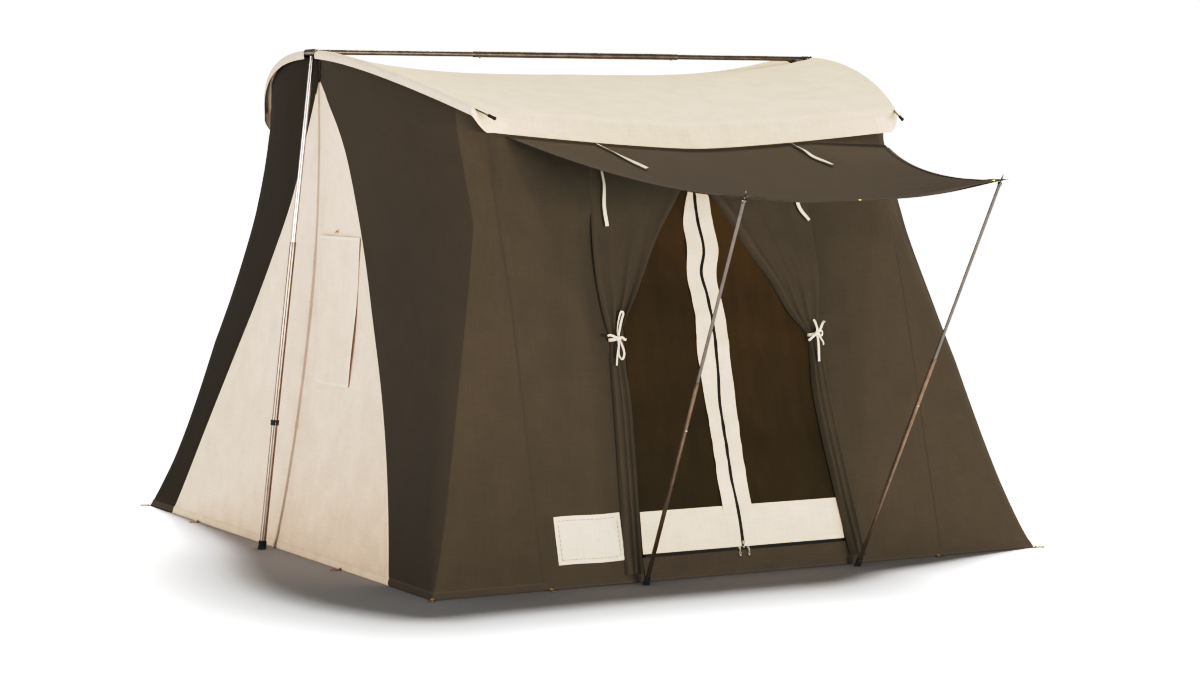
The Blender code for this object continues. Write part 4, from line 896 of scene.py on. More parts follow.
def sun_light(name, toward, share, angle, color):
    """A distant soft light; share is what it adds on a surface that faces it."""
    data = bpy.data.lights.new(name, "SUN")
    data.energy = share * math.pi
    data.angle = math.radians(angle)
    data.color = color
    obj = bpy.data.objects.new(name, data)
    obj.rotation_euler = Vector(toward).to_track_quat("Z", "Y").to_euler()
    bpy.context.scene.collection.objects.link(obj)
    return obj


sun = sun_light("key", (-0.06, -0.656, 0.754), 0.09, 5.0, (1.0, 0.965, 0.92))
back_light = sun_light("high_back", (0.26, 0.46, 0.85), 0.56, 9.0, (1.0, 0.98, 0.95))
floor_light = sun_light("high_back_floor", (0.322, 0.458, 0.829), 2.15, 13.0, (1.0, 1.0, 1.0))
front_light = area_light("front", (0.4, -13.0, 1.3), (0.0, -1.2, 0.9), 6.0, 880, (1.0, 0.975, 0.945))
front_light.data.shape = "ELLIPSE"   # wide and low, so that it reaches under the awning
front_light.data.size_y = 2.0
side_light = area_light("side", (-13.0, -1.5, 2.6), (-1.2, 0.0, 1.0), 1.1, 500, (1.0, 0.97, 0.93))

floor_mat, nt_floor, floor_bsdf = new_material("pale_floor")
tc_floor = node(nt_floor, "ShaderNodeTexCoord")
nf = noise_tex(nt_floor, tc_floor.outputs["Object"], 0.7, 3, 0.5)
link(nt_floor, ramp(nt_floor, nf.outputs["Fac"], [(0.3, grey(0.52)), (0.7, grey(0.54))]).outputs[0],
     floor_bsdf.inputs["Base Color"])
floor_bsdf.inputs["Roughness"].default_value = 0.9
floor_bsdf.inputs["Specular IOR Level"].default_value = 0.1
floor_mesh = bpy.data.meshes.new("studio_floor")
floor_mesh.from_pydata([(-60, -60, -0.001), (60, -60, -0.001), (60, 60, -0.001), (-60, 60, -0.001)], [], [(0, 1, 2, 3)])
floor_mesh.materials.append(floor_mat)
floor_obj = bpy.data.objects.new("studio_floor", floor_mesh)
bpy.context.scene.collection.objects.link(floor_obj)
# the studio lights on the tent are flagged off the floor, which the high back light whitens
floor_off = bpy.data.collections.new("lights_flagged_off")
floor_off.objects.link(floor_obj)
floor_off.collection_objects[0].light_linking.link_state = "EXCLUDE"
for lamp in (sun, back_light, front_light, side_light):
    lamp.light_linking.receiver_collection = floor_off
floor_on = bpy.data.collections.new("floor_light_only")
floor_on.objects.link(floor_obj)
floor_light.light_linking.receiver_collection = floor_on


# ------------------------------------------------------------ tie tapes that hang free
def smooth_path(points, count):
    pts = [Vector(p) for p in points]
    pts = [pts[0] * 2 - pts[1]] + pts + [pts[-1] * 2 - pts[-2]]
    dense = []
    for i in range(1, len(pts) - 2):
        for k in range(24):
            t = k / 24
            a, b, c, d = pts[i - 1:i + 3]
            dense.append(0.5 * ((2 * b) + (c - a) * t + (2 * a - 5 * b + 4 * c - d) * t * t
                                + (3 * b - a - 3 * c + d) * t ** 3))
    dense.append(pts[-2])
    run = [0.0]
    for a, b in zip(dense, dense[1:]):
        run.append(run[-1] + (b - a).length)
    out = []
    for k in range(count):
        goal = run[-1] * k / (count - 1)
        i = max(j for j in range(len(run)) if run[j] <= goal + 1e-12)
        if i >= len(dense) - 1:
            out.append(dense[-1].copy())
            continue
        out.append(dense[i].lerp(dense[i + 1], (goal - run[i]) / (run[i + 1] - run[i])))
    return out


def on_awning(a, b, lift):
    p = awning_point(a, b)
    return (p[0], p[1], p[2] + lift)


def hang_front(x, z, out):
    return (x, -end_point(x, z) - out, z)


TAPE_ROUTES = {
    "tape_top_left": ([on_awning(-0.560, 0.020, 0.0095), on_awning(-0.560, 0.10, 0.0095),
                       on_awning(-0.575, 0.18, 0.0095), on_awning(-0.590, 0.26, 0.0095),
                       on_awning(-0.600, 0.30, 0.0095)], "awning", (0, -0.2, 1), "loose"),
    "tape_top_right": ([on_awning(0.480, 0.020, 0.0095), on_awning(0.490, 0.10, 0.0095),
                        on_awning(0.480, 0.18, 0.0095), on_awning(0.495, 0.26, 0.0095),
                        on_awning(0.500, 0.30, 0.0095)], "awning", (0, -0.2, 1), "loose"),
    "tape_low_left": ([hang_front(-0.452, 1.625, 0.022), hang_front(-0.453, 1.56, 0.024),
                       hang_front(-0.450, 1.50, 0.025), hang_front(-0.462, 1.42, 0.026),
                       hang_front(-0.462, 1.343, 0.030)], "root", (0, -1, 0.26), "hanging"),
    "tape_low_right": ([hang_front(0.428, 1.625, 0.022), hang_front(0.427, 1.55, 0.024),
                        hang_front(0.426, 1.46, 0.025), hang_front(0.436, 1.40, 0.027),
                        hang_front(0.470, 1.352, 0.033)], "root", (0, -1, 0.26), "hanging"),
}
TAPE_WIDTH = 0.014
cords = {}
for tape_name, (route, body, face, lay) in TAPE_ROUTES.items():
    path = smooth_path(route, 40)
    pts = np.array([list(p) for p in path])
    run = np.concatenate(([0.0], np.cumsum(np.linalg.norm(np.diff(pts, axis=0), axis=1))))
    tangent = unit(np.gradient(pts, axis=0))
    up = np.array(face, float) - tangent * (tangent @ np.array(face, float))[:, None]
    up = unit(up)
    across = np.cross(tangent, up)
    # the tape turns a little on its way
    twist = 0.35 * np.sin(run / run[-1] * 5.0 + len(tape_name))
    a2 = across * np.cos(twist)[:, None] + up * np.sin(twist)[:, None]
    u2 = np.cross(a2, tangent)
    bag = Bag()
    bag.ribbon(pts, a2, u2, TAPE_WIDTH, 0.0007)
    obj = bag.make(tape_name + "_cloth", MAT_TAPE, body, "tape", (tape_name,))
    cords[tape_name] = float(run[-1])


def column(h_rows, side, end, where):
    """Rows of points: where(h, front, seam, total) gives arc lengths."""
    out = []
    for h in h_rows:
        row, lengths, front, seam = seam_lengths(h, end)
        out.append(at_length(row, lengths, np.array(where(h, front, seam, lengths[-1]))) * (side, end, 1))
    return np.array(out)


H_FINE = np.concatenate((np.linspace(0, 0.03, 4)[:-1], np.linspace(0.03, 1.0, 86)))


def gable(tag, side):
    hs = H_FINE[H_FINE < APEX_H - 0.012]
    hs = np.append(hs, APEX_H - 0.006)
    t = np.linspace(0, 1, 25)
    front = column(hs, side, -1, lambda h, f, s, total: s + (total - s) * t)
    rear = column(hs, side, 1, lambda h, f, s, total: s + (total - s) * t[::-1])
    P = np.concatenate((front, rear[:, 1:]), axis=1)
    z, y = P[:, :, 2], P[:, :, 1]
    room = np.clip((GABLE_APEX_Z - z) / 0.9, 0, 1)
    edge = np.clip(1 - np.abs(np.linspace(-1, 1, P.shape[1])) ** 6, 0, 1)[None, :]
    d = soft_noise(P, 1.0, 3.1 * side, (1, 4.2, 0.7)) * 0.007
    d += soft_noise(P, 1.0, 9.3, (1, 11.0, 1.6)) * 0.0028
    # slack folds that run down from the peak
    ray = np.arctan2(y, np.maximum(2.02 - z, 0.05))
    d += 0.004 * np.sin(ray * 34 + 1.3 * side) * np.clip((2.0 - z) / 1.2, 0, 1) * np.exp(-((z - 1.0) / 0.7) ** 2)
    d = d * edge * (0.25 + 0.75 * room) * np.clip(z / 0.12, 0, 1)
    obj = skin("gable_cloth_" + tag, P, (side, 0, 0), MAT_CREAM, "root", d,
               replaces=("gable_panel_" + tag,))
    return P


def corner(tag, side, end):
    grid = []
    for h in H_FINE:     # column 19 follows the fold, where the wall turns the corner
        row, lengths, front, seam = seam_lengths(h, end)
        turn = lengths[66] if len(lengths) > 130 else lengths[60]
        turn = min(max(turn, front + (seam - front) * 0.12), front + (seam - front) * 0.88)
        where = np.concatenate((np.linspace(front, turn, 20), np.linspace(turn, seam, 26)[1:]))
        grid.append(at_length(row, lengths, where) * (side, end, 1))
    P = np.array(grid)
    z = P[:, :, 2]
    edge = np.clip(1 - np.abs(np.linspace(-1, 1, P.shape[1])) ** 8, 0, 1)[None, :]
    d = soft_noise(P, 1.0, 5.0 * side + 2.0 * end, (2.6, 2.6, 0.55)) * 0.007
    d += soft_noise(P, 1.0, 15.0, (7, 7, 1.1)) * 0.0022
    # fine pull lines that fan down from the spring rod
    fan = np.arctan2(P[:, :, 1] * end - 0.25, 2.05 - z + 0.15)
    d += 0.0011 * np.sin(fan * 62) * np.clip((z - 1.15) / 0.4, 0, 1) * np.clip((1.92 - z) / 0.15, 0, 1)
    d = d * edge * np.clip(z / 0.15, 0, 1) * np.clip((1.99 - z) / 0.12, 0.0, 1)
    past = np.zeros((P.shape[0] - 1, P.shape[1] - 1), int)
    past[:, 19:] = 1          # past the fold the cloth faces sideways and takes the darker copy of the brown, painted shade
    obj = skin("corner_cloth_" + tag, P, (side, end, 0.2),
               [MAT_BROWN, MAT_BROWN_PAINTED_SHADE_CORNER] if end < 0 else [MAT_BROWN_PAINTED_SHADE_REAR, MAT_BROWN_PAINTED_SHADE_SIDE], "root", d,
               replaces=("corner_panel_" + tag,), mat_of=past)
    return P


gable("left", -1)
gable("right", 1)
for tag, side, end in (("front_left", -1, -1), ("front_right", 1, -1),
                       ("rear_left", -1, 1), ("rear_right", 1, 1)):
    corner(tag, side, end)


def wall_h(z):
    """Height fraction of the wall's seam edge that stands at height z."""
    h = z / 1.78
    for _ in range(30):
        h += (z - end_row_x(h, 1.0)[2]) / 1.78
    return h


def front_wall():
    zs = np.concatenate(([0.0, 0.02, 0.05, DOOR_BOT_Z], np.linspace(DOOR_BOT_Z, DOOR_TOP_Z, 56)[1:],
                         [1.60, 1.635, 1.665]))
    n, mid = 30, 24
    rows = []
    for z in list(zs) + [None]:
        if z is None:
            outer = end_row_x(1.0, 1.0)
            xs = np.concatenate((np.linspace(-outer[0], door_left(2), n),
                                 np.linspace(door_left(2), door_right(2), mid + 2)[1:-1],
                                 np.linspace(door_right(2), outer[0], n)))
            line = []
            for x in xs:
                row, lengths, _, _ = seam_lengths(1.0)
                k = np.interp(abs(x), row[:70, 0], lengths[:70])
                p = at_length(row, lengths, k)
                line.append((x, -p[1], p[2]))
        else:
            outer = end_row_x(wall_h(z), 1.0)
            xs = np.concatenate((np.linspace(-outer[0], door_left(z), n),
                                 np.linspace(door_left(z), door_right(z), mid + 2)[1:-1],
                                 np.linspace(door_right(z), outer[0], n)))
            line = [(x, -end_point(x, z), z) if abs(x) < outer[0] - 1e-6 else (x, -outer[1], outer[2]) for x in xs]
        rows.append(line)
    P = np.array(rows)
    x, z = P[:, :, 0], P[:, :, 2]
    mask = np.ones((len(rows) - 1, 2 * n + mid - 1), bool)
    for i in range(len(rows) - 1):
        if rows[i + 1][n][2] <= DOOR_TOP_Z + 1e-6:
            mask[i, n - 1:n + mid] = False
    d = soft_noise(P, 1.0, 1.0, (3.4, 1, 0.5)) * 0.006 + soft_noise(P, 1.0, 7.0, (9, 1, 1.2)) * 0.0022
    # long folds: down from the eave seam, and pulled towards each tie
    d += bump_line(x, z, [(-0.50, 1.36), (-0.545, 1.15), (-0.530, 0.93)], 0.020, -0.012)
    d += bump_line(x, z, [(-0.56, 1.42), (-0.61, 1.15), (-0.585, 0.90), (-0.62, 0.45)], 0.030, 0.010)
    d += bump_line(x, z, [(0.50, 1.50), (0.505, 1.15), (0.47, 0.92)], 0.022, -0.009)
    d += bump_line(x, z, [(0.60, 1.45), (0.62, 1.05), (0.60, 0.50), (0.66, 0.1)], 0.034, 0.008)
    d += bump_line(x, z, [(0.78, 1.30), (0.80, 0.90), (0.86, 0.35)], 0.030, 0.005)
    d += bump_line(x, z, [(-0.74, 1.45), (-0.76, 1.0), (-0.82, 0.4)], 0.032, 0.005)
    seam = 1 - np.abs(np.clip(np.abs(x) / np.maximum(np.abs(x[:, :1]), 1e-6), 0, 1)) ** 14
    door = np.minimum(np.abs(x - np.vectorize(door_left)(z)), np.abs(x - np.vectorize(door_right)(z)))
    door = np.clip(door / 0.03, 0, 1)
    d = d * seam * door * np.clip(z / 0.12, 0, 1) * np.clip((1.68 - z) / 0.08, 0, 1)
    obj = skin("front_wall_cloth", P, (0, -1, 0), MAT_BROWN, "root", d,
               replaces=("front_wall",), mask=mask)


def rear_wall():
    hs = np.concatenate((np.linspace(0, 0.03, 4)[:-1], np.linspace(0.03, 1, 60)))
    rows = []
    for h in hs:
        line = []
        for k in np.linspace(-1, 1, 61):
            p = end_row_x(h, abs(k), 1)
            line.append((math.copysign(p[0], k), p[1], p[2]))
        rows.append(line)
    P = np.array(rows)
    x, z = P[:, :, 0], P[:, :, 2]
    d = soft_noise(P, 1.0, 21.0, (2.8, 1, 0.5)) * 0.010 + soft_noise(P, 1.0, 27.0, (8, 1, 1.1)) * 0.003
    edge = 1 - np.abs(np.linspace(-1, 1, 61))[None, :] ** 10
    d = d * edge * np.clip(z / 0.15, 0, 1) * np.clip((1.70 - z) / 0.12, 0, 1)
    # painted shade: the rear wall takes a darker copy of the brown
    obj = skin("rear_wall_cloth", P, (0, 1, 0), MAT_BROWN_PAINTED_SHADE_REAR, "root", d,
               replaces=("rear_wall",))


front_wall()
rear_wall()

# floor: coated sheet, slightly dished between its stitched edges
gx = np.linspace(-HEM_X + 0.012, HEM_X - 0.012, 60)
gy = np.linspace(-HEM_Y + 0.012, HEM_Y - 0.012, 64)
FP = np.array([[(x, y, 0.003) for x in gx] for y in gy])
fd = np.abs(soft_noise(FP, 1.0, 40.0, (2.5, 2.5, 1))) * 0.0020 * np.outer(
    1 - np.abs(np.linspace(-1, 1, 64)) ** 8, 1 - np.abs(np.linspace(-1, 1, 60)) ** 8)
floor_piece = skin("floor_cloth", FP, (0, 0, 1), MAT_FLOOR, "root", fd, thick=0.0015,
                   replaces=("floor_sheet",))


# ------------------------------------------------------------ roof
def roof_rows():
    vs = np.concatenate((-np.linspace(1, 0.12, 34), -np.linspace(0.1, 0.02, 6), [0.0],
                         np.linspace(0.02, 0.1, 6), np.linspace(0.12, 1, 34)))
    rows = [("f", -1, dy, dz) for dy, dz in reversed(FASCIA_FINE)]
    rows += [("m", v, 0.0, 0.0) for v in vs]
    rows += [("f", 1, dy, dz) for dy, dz in FASCIA_FINE]
    return rows


def fascia_fine():
    knots = np.array([(0, 0)] + list(FASCIA))
    t = np.linspace(0, 1, 5)
    s = np.linspace(0, 1, 14)[1:]
    return [(float(np.interp(k, t, knots[:, 0])), float(np.interp(k, t, knots[:, 1]))) for k in s]


FASCIA_FINE = fascia_fine()
ROOF_US = np.concatenate((np.linspace(-0.955, -0.80, 8), np.linspace(-0.80, 0.80, 49)[1:-1],
                          np.linspace(0.80, 0.955, 8)))
rows = roof_rows()
RP, r_disp = [], []
for kind, v, dy, dz in rows:
    s, end = abs(v), (-1 if v < 0 else 1)
    near = math.exp(-(BAR_Y * v / 0.045) ** 2)
    lift = bow_z(s, end) + ROOF_LIFT - 0.004 - 0.020 * near
    low = bow_z(s, end) - 0.028
    y = BAR_Y * v + (math.copysign(dy, v) if kind == "f" else 0.0)
    bx = bow_x(s, end)
    tuck = dz * 0.25
    left = [(-(bx + 0.0105), low - dz), (-(bx + 0.0125), low + 0.012 - dz), (-(bx + 0.0125), lift - 0.014 - dz),
            (-(bx + 0.0105), lift - 0.005 - dz), (-(bx + 0.005), lift + 0.001 - dz), (-(bx - 0.004), lift + 0.001 - dz),
            (-(bx - 0.013 - tuck), lift - 0.004 - dz)]
    line = [(px, y, pz) for px, pz in left]
    for u in ROOF_US:
        p = roof_point(u, v, ROOF_LIFT - 0.004)
        inset = 1 - tuck / bx * abs(u)
        line.append((p[0] * inset, y, p[2] + 0.004 * near - dz))
    if kind == "f":      # the sleeve's mouth tapers away down the fascia's corner
        q = dz / FASCIA[-1][1]
        cx0, cz0 = left[-1]
        left = [(cx0 + (px - cx0) * (1 - q) ** 0.8, cz0 + (pz - cz0) * (1 - q)) for px, pz in left]
        line[:len(left)] = [(px, y, pz) for px, pz in left]
    line += [(-p[0], p[1], p[2]) for p in reversed([(px, y, pz) for px, pz in left])]
    RP.append(line)
RP = np.array(RP)
sl = 7
cols = RP.shape[1]
rmask = np.ones((len(rows) - 1, cols - 1), bool)
for i in range(len(rows) - 1):
    fa, va, fb, vb = rows[i][0], rows[i][1], rows[i + 1][0], rows[i + 1][1]
    skip = 0
    if "f" in (fa, fb):
        skip = 0
    elif max(abs(va), abs(vb)) < 0.0541:
        skip = sl
    rmask[i, :skip] = False
    rmask[i, cols - 1 - skip:] = False
uu = np.zeros(cols)
uu[sl:cols - sl] = ROOF_US
uu[:sl], uu[cols - sl:] = -1, 1
inner = np.clip(1 - np.abs(uu) ** 12, 0, 1)[None, :]
yy, xx = RP[:, :, 1], RP[:, :, 0]
rd = soft_noise(RP, 1.0, 2.0, (0.8, 2.2, 0.3)) * 0.005 + soft_noise(RP, 1.0, 12.0, (6, 2.0, 0.3)) * 0.0012
# short puckers that run in from the sleeves, strongest towards the eaves
near_edge = np.exp(-((1 - np.abs(uu)) / 0.10) ** 2)[None, :]
rd += near_edge * 0.0022 * np.sin(yy * 62 + 1.5 * np.sin(yy * 17)) * np.clip(np.abs(yy) / 0.5, 0, 1)
eave = np.exp(-((np.abs(yy) - BAR_Y) / 0.05) ** 2)
rd += eave * 0.0010 * np.sin(xx * 95 + 2 * np.sin(xx * 13))
rd = rd * inner
# painted shade: the sleeve columns take the darker copy of the cream
roof_mats = np.zeros(rmask.shape, int)
roof_mats[:, :4] = 1
roof_mats[:, cols - 5:] = 1
for i in range(len(rows) - 1):
    if "f" in (rows[i][0], rows[i + 1][0]):
        roof_mats[i, :] = 0
roof_obj = skin("roof_cloth", RP, (0, 0, 1), [MAT_ROOF, MAT_SLEEVE_PAINTED_SHADE], "root", rd,
                replaces=("roof_canvas",), mask=rmask, mat_of=roof_mats)

# ------------------------------------------------------------ awning
na, nb = 65, 60
AA = np.linspace(-1.03, 1.03, na)
BB = np.concatenate((np.linspace(0, 0.94, nb - 6), np.linspace(0.95, 1.018, 6)))
AP = np.array([[awning_point(max(-1.0, min(1.0, a)) if b < 0.9 else a, b) for a in AA] for b in BB])
for i, b in enumerate(BB):
    if b < 0.9:  # the hem turns down a little past the last column
        for j, a in enumerate(AA):
            if abs(a) > 1:
                AP[i, j] = awning_point(math.copysign(1.0, a), b) + (math.copysign(0.0004, a), 0, -0.004 * (abs(a) - 1) / 0.03)
ad = soft_noise(AP, 1.0, 31.0, (2.0, 1.6, 1)) * 0.006 + soft_noise(AP, 1.0, 33.0, (7, 2.0, 1)) * 0.002
B_, A_ = np.meshgrid(BB, AA, indexing="ij")
# tension folds from the two held corners
for sx in (-1, 1):
    cx, cy = sx * AWN_CORNER_X, AWN_CORNER_Y
    ang = np.arctan2(AP[:, :, 1] - cy + 0.03, (AP[:, :, 0] - cx) * -sx + 0.03)
    dist = np.hypot(AP[:, :, 0] - cx, AP[:, :, 1] - cy)
    ad += 0.0035 * np.sin(ang * 21 + sx) * np.exp(-((dist - 0.20) / 0.20) ** 2)
ad = ad * np.clip(B_ / 0.10, 0, 1) * np.clip((1.0 - np.abs(A_)) / 0.08, 0.15, 1)
awn_obj = skin("awning_cloth", AP, (0, -0.15, 1), MAT_AWNING, "awning", ad,
               replaces=("awning_canvas",))

# ------------------------------------------------------------ door
def curve_of(points):
    """x as a smooth function of z through (x, z) points."""
    pts = sorted(((z, x) for x, z in points))
    zs, xs = np.array([p[0] for p in pts]), np.array([p[1] for p in pts])
    slopes = np.gradient(xs, zs)

    def at(z):
        z = np.clip(np.array(z, float), zs[0], zs[-1])
        i = np.clip(np.searchsorted(zs, z) - 1, 0, len(zs) - 2)
        h = zs[i + 1] - zs[i]
        t = (z - zs[i]) / h
        return ((2 * t ** 3 - 3 * t ** 2 + 1) * xs[i] + (t ** 3 - 2 * t ** 2 + t) * h * slopes[i]
                + (-2 * t ** 3 + 3 * t ** 2) * xs[i + 1] + (t ** 3 - t ** 2) * h * slopes[i + 1])
    return at


ZIP_X = curve_of([(-0.037, 1.535), (-0.036, 1.473), (-0.037, 1.371), (-0.028, 1.226), (-0.050, 1.157),
                  (-0.039, 1.074), (-0.029, 0.973), (-0.033, 0.78), (-0.044, 0.642), (-0.040, 0.499),
                  (-0.035, 0.338), (-0.023, 0.22), (-0.021, 0.098)])
FACE_L = curve_of([(-0.050, 1.535), (-0.064, 1.477), (-0.100, 1.368), (-0.104, 1.24), (-0.116, 1.147),
                   (-0.104, 0.987), (-0.115, 0.845), (-0.111, 0.714), (-0.102, 0.533), (-0.098, 0.342),
                   (-0.093, 0.240)])
FACE_R = curve_of([(-0.010, 1.535), (0.024, 1.465), (0.031, 1.358), (0.040, 1.237), (0.020, 1.167),
                   (0.033, 0.971), (0.030, 0.80), (0.029, 0.638), (0.029, 0.457), (0.039, 0.240)])


def door_grid(z_rows, left, right, n, out=0.0):
    return np.array([[door_pt(x, z, out) for x in np.linspace(left(z), right(z), n)] for z in z_rows])


low, high = DOOR_BOT_Z + 0.014, DOOR_TOP_Z - 0.030
leaf_z = np.linspace(low, high, 56)


def leaf_wave(P):
    x, z = P[:, :, 0], P[:, :, 2]
    return soft_noise(P, 1.0, 51.0, (4.0, 1, 1.6)) * 0.003 + 0.0012 * np.sin(z * 40 + x * 9)


for tag, side, l_of, r_of in (
        ("left", -1, lambda z: door_left(z) + 0.004, lambda z: float(ZIP_X(z)) - 0.004),
        ("right", 1, lambda z: float(ZIP_X(z)) + 0.004, lambda z: door_right(z) - 0.004)):
    P = door_grid(leaf_z, l_of, r_of, 24, -0.0015)
    edge = (1 - np.abs(np.linspace(-1, 1, 24))[None, :] ** 6) * (1 - np.abs(np.linspace(-1, 1, 56))[:, None] ** 10)
    nodes_of = ("screen_leaf_" + tag,)
    obj = skin("net_leaf_" + tag, P, (0, -1, 0.2), MAT_NET, tag + "_screen", leaf_wave(P) * edge,
               thick=0.0006, replaces=nodes_of)

# cream facings along the zip, and the cream band over the sill zip
face_z = np.linspace(0.236, 1.532, 110)


def pucker(P, phase):
    z, x = P[:, :, 2], P[:, :, 0]
    across = np.linspace(0, 1, P.shape[1])[None, :]
    d = 0.0030 * np.sin(z * 52 + phase + 2.2 * np.sin(z * 13)) * (0.35 + 0.65 * np.abs(across - 0.5) * 2)
    d = d + soft_noise(P, 1.0, 61.0 + phase, (14, 1, 9)) * 0.0035
    return np.where(d < 0, d * 0.12, d)     # the net lies close behind


for tag, body, l_of, r_of in (
        ("left", "left_screen", lambda z: float(FACE_L(z)), lambda z: float(ZIP_X(z)) - 0.0065),
        ("right", "right_screen", lambda z: float(ZIP_X(z)) + 0.0065, lambda z: float(FACE_R(z)))):
    P = door_grid(face_z, l_of, r_of, 12, 0.0042)
    obj = skin("zip_facing_" + tag, P, (0, -1, 0.2), MAT_FACING, body, pucker(P, 0.0 if tag == "left" else 1.9),
               thick=0.0012)

band_z = np.linspace(0.1005, 0.258, 14)
for tag, body, l_of, r_of in (
        ("left", "left_screen", lambda z: door_left(z) + 0.005, lambda z: float(ZIP_X(z)) - 0.0065),
        ("right", "right_screen", lambda z: float(ZIP_X(z)) + 0.0065, lambda z: door_right(z) - 0.005)):
    P = door_grid(band_z, l_of, r_of, 34, 0.0025)
    d = soft_noise(P, 1.0, 71.0, (7, 1, 5)) * 0.0025
    obj = skin("sill_band_" + tag, P, (0, -1, 0.2), MAT_FACING, body, d, thick=0.0012)

# brown sill
sill_P = door_grid(np.concatenate((np.linspace(0.0, DOOR_BOT_Z - 0.001, 14),)),
                   lambda z: DOOR_LEFT_X + 0.0015, lambda z: DOOR_RIGHT_X - 0.0015, 60, -0.001)
sd = soft_noise(sill_P, 1.0, 81.0, (6, 1, 6)) * 0.0035 + 0.0035 * np.exp(-((sill_P[:, :, 2] - 0.034) / 0.012) ** 2)
sill_obj = skin("door_sill_cloth", sill_P, (0, -1, 0.2), MAT_BROWN, "root", sd * np.clip(sill_P[:, :, 2] / 0.02, 0, 1),
                replaces=("door_sill",))


# zips: two rows of coil teeth between woven tapes
def zip_bag(path, across, up, tape_w, pitch, tooth):
    bag = Bag()
    bag.ribbon(path, across, up, tape_w, 0.0009)
    run = np.concatenate(([0.0], np.cumsum(np.linalg.norm(np.diff(path, axis=0), axis=1))))
    count = int(run[-1] / pitch)
    for k in range(count):
        s = (k + 0.5) * pitch
        p = at_length(path, run, s)
        a, u = at_length(across, run, s), at_length(up, run, s)
        t = np.cross(a, u)
        sx = -1 if k % 2 else 1
        bag.block(p + u * 0.0012 + a * sx * 0.0008, (unit(a), unit(t), unit(u)), (tooth, pitch * 0.62, 0.0016))
    return bag


vz = np.linspace(low, high, 90)
v_path = np.array([door_pt(float(ZIP_X(z)), z, 0.0046) for z in vz])
v_t = unit(np.gradient(v_path, axis=0))
v_up = np.tile(DOOR_OUT, (len(vz), 1))
v_across = unit(np.cross(v_t, v_up))
zip_bag(v_path, v_across, v_up, 0.013, 0.006, 0.0046).make("zip_coil_vertical", MAT_ZIP, "left_screen", "zip_black",
                                                         ("zipper_vertical",))
hx = np.linspace(DOOR_LEFT_X + 0.012, DOOR_RIGHT_X - 0.012, 60)
h_path = np.array([door_pt(x, DOOR_BOT_Z + 0.0055, 0.0022) for x in hx])
h_across = np.tile(unit(np.array((0, DOOR_SLOPE, 1.0))), (len(hx), 1))
h_up = np.tile(DOOR_OUT, (len(hx), 1))
zip_bag(h_path, h_across, h_up, 0.0105, 0.006, 0.0040).make("zip_coil_level", MAT_ZIP, "root", "zip_black",
                                                            ("zipper_horizontal",))


def slider(name, x, z, body, turn, replaced, drop=1.0):
    """Slider body with a bridge and a hanging pull."""
    bag = Bag()
    t = unit(np.array((0, DOOR_SLOPE, 1.0)))
    r = np.array((1.0, 0, 0))
    ax, ay = (r, t) if not turn else (t, -r)
    c = door_pt(x, z, 0.0066)
    bag.block(c, (ax, ay, DOOR_OUT), (0.0100, 0.0135, 0.0030), bevel=0.3)
    bag.block(c + ay * 0.003 + DOOR_OUT * 0.0020, (ax, ay, DOOR_OUT), (0.0075, 0.0055, 0.0020), bevel=0.3)
    hang = c + DOOR_OUT * 0.0030 + t * -0.002
    loop = []
    for k in range(20):
        a = 2 * math.pi * k / 20
        loop.append(hang + r * 0.0036 * math.cos(a) * (1.15 if math.sin(a) < 0 else 0.8) + t * drop * (-0.0135 + 0.0150 * math.sin(a)) + DOOR_OUT * 0.0004)
    bag.sweep(loop, 0.00095, n=8, closed=True, normal=DOOR_OUT)
    bag.block(hang - t * drop * 0.0260 + DOOR_OUT * 0.0004, (r, t, DOOR_OUT), (0.0072, 0.0085 * drop, 0.0014), bevel=0.3)
    bag.make(name, MAT_ZIPPULL, body, "zip_metal", (replaced,))


z0 = DOOR_BOT_Z + 0.026
slider("zip_slider_vertical", zip_x(z0), z0, "vertical_slider", False, "slider_vertical", 0.7)
slider("zip_slider_left", zip_x(DOOR_BOT_Z) - 0.020, DOOR_BOT_Z + 0.0055, "left_slider", True, "slider_left")
slider("zip_slider_right", zip_x(DOOR_BOT_Z) + 0.020, DOOR_BOT_Z + 0.0055, "right_slider", True, "slider_right")

# ------------------------------------------------------------ tied-back door flaps
FL_OUT = curve_of([(-0.492, 1.612), (-0.505, 1.45), (-0.522, 1.28), (-0.524, 1.10), (-0.512, 0.98), (-0.500, 0.905),
                   (-0.508, 0.84), (-0.522, 0.62), (-0.542, 0.32), (-0.558, 0.03)])
FL_IN = curve_of([(-0.034, 1.612), (-0.050, 1.540), (-0.090, 1.478), (-0.220, 1.304), (-0.337, 1.113), (-0.453, 0.926),
                  (-0.462, 0.895), (-0.458, 0.84), (-0.452, 0.70), (-0.466, 0.45), (-0.490, 0.12), (-0.496, 0.03)])
FR_IN = curve_of([(-0.026, 1.612), (-0.010, 1.535), (0.033, 1.465), (0.109, 1.357), (0.184, 1.23), (0.26, 1.118),
                  (0.333, 0.977), (0.405, 0.890), (0.404, 0.84), (0.392, 0.700), (0.400, 0.55), (0.430, 0.28), (0.462, 0.03)])
FR_OUT = curve_of([(0.480, 1.612), (0.490, 1.45), (0.500, 1.28), (0.495, 1.10), (0.470, 0.97), (0.447, 0.895),
                   (0.455, 0.84), (0.475, 0.62), (0.505, 0.30), (0.535, 0.03)])


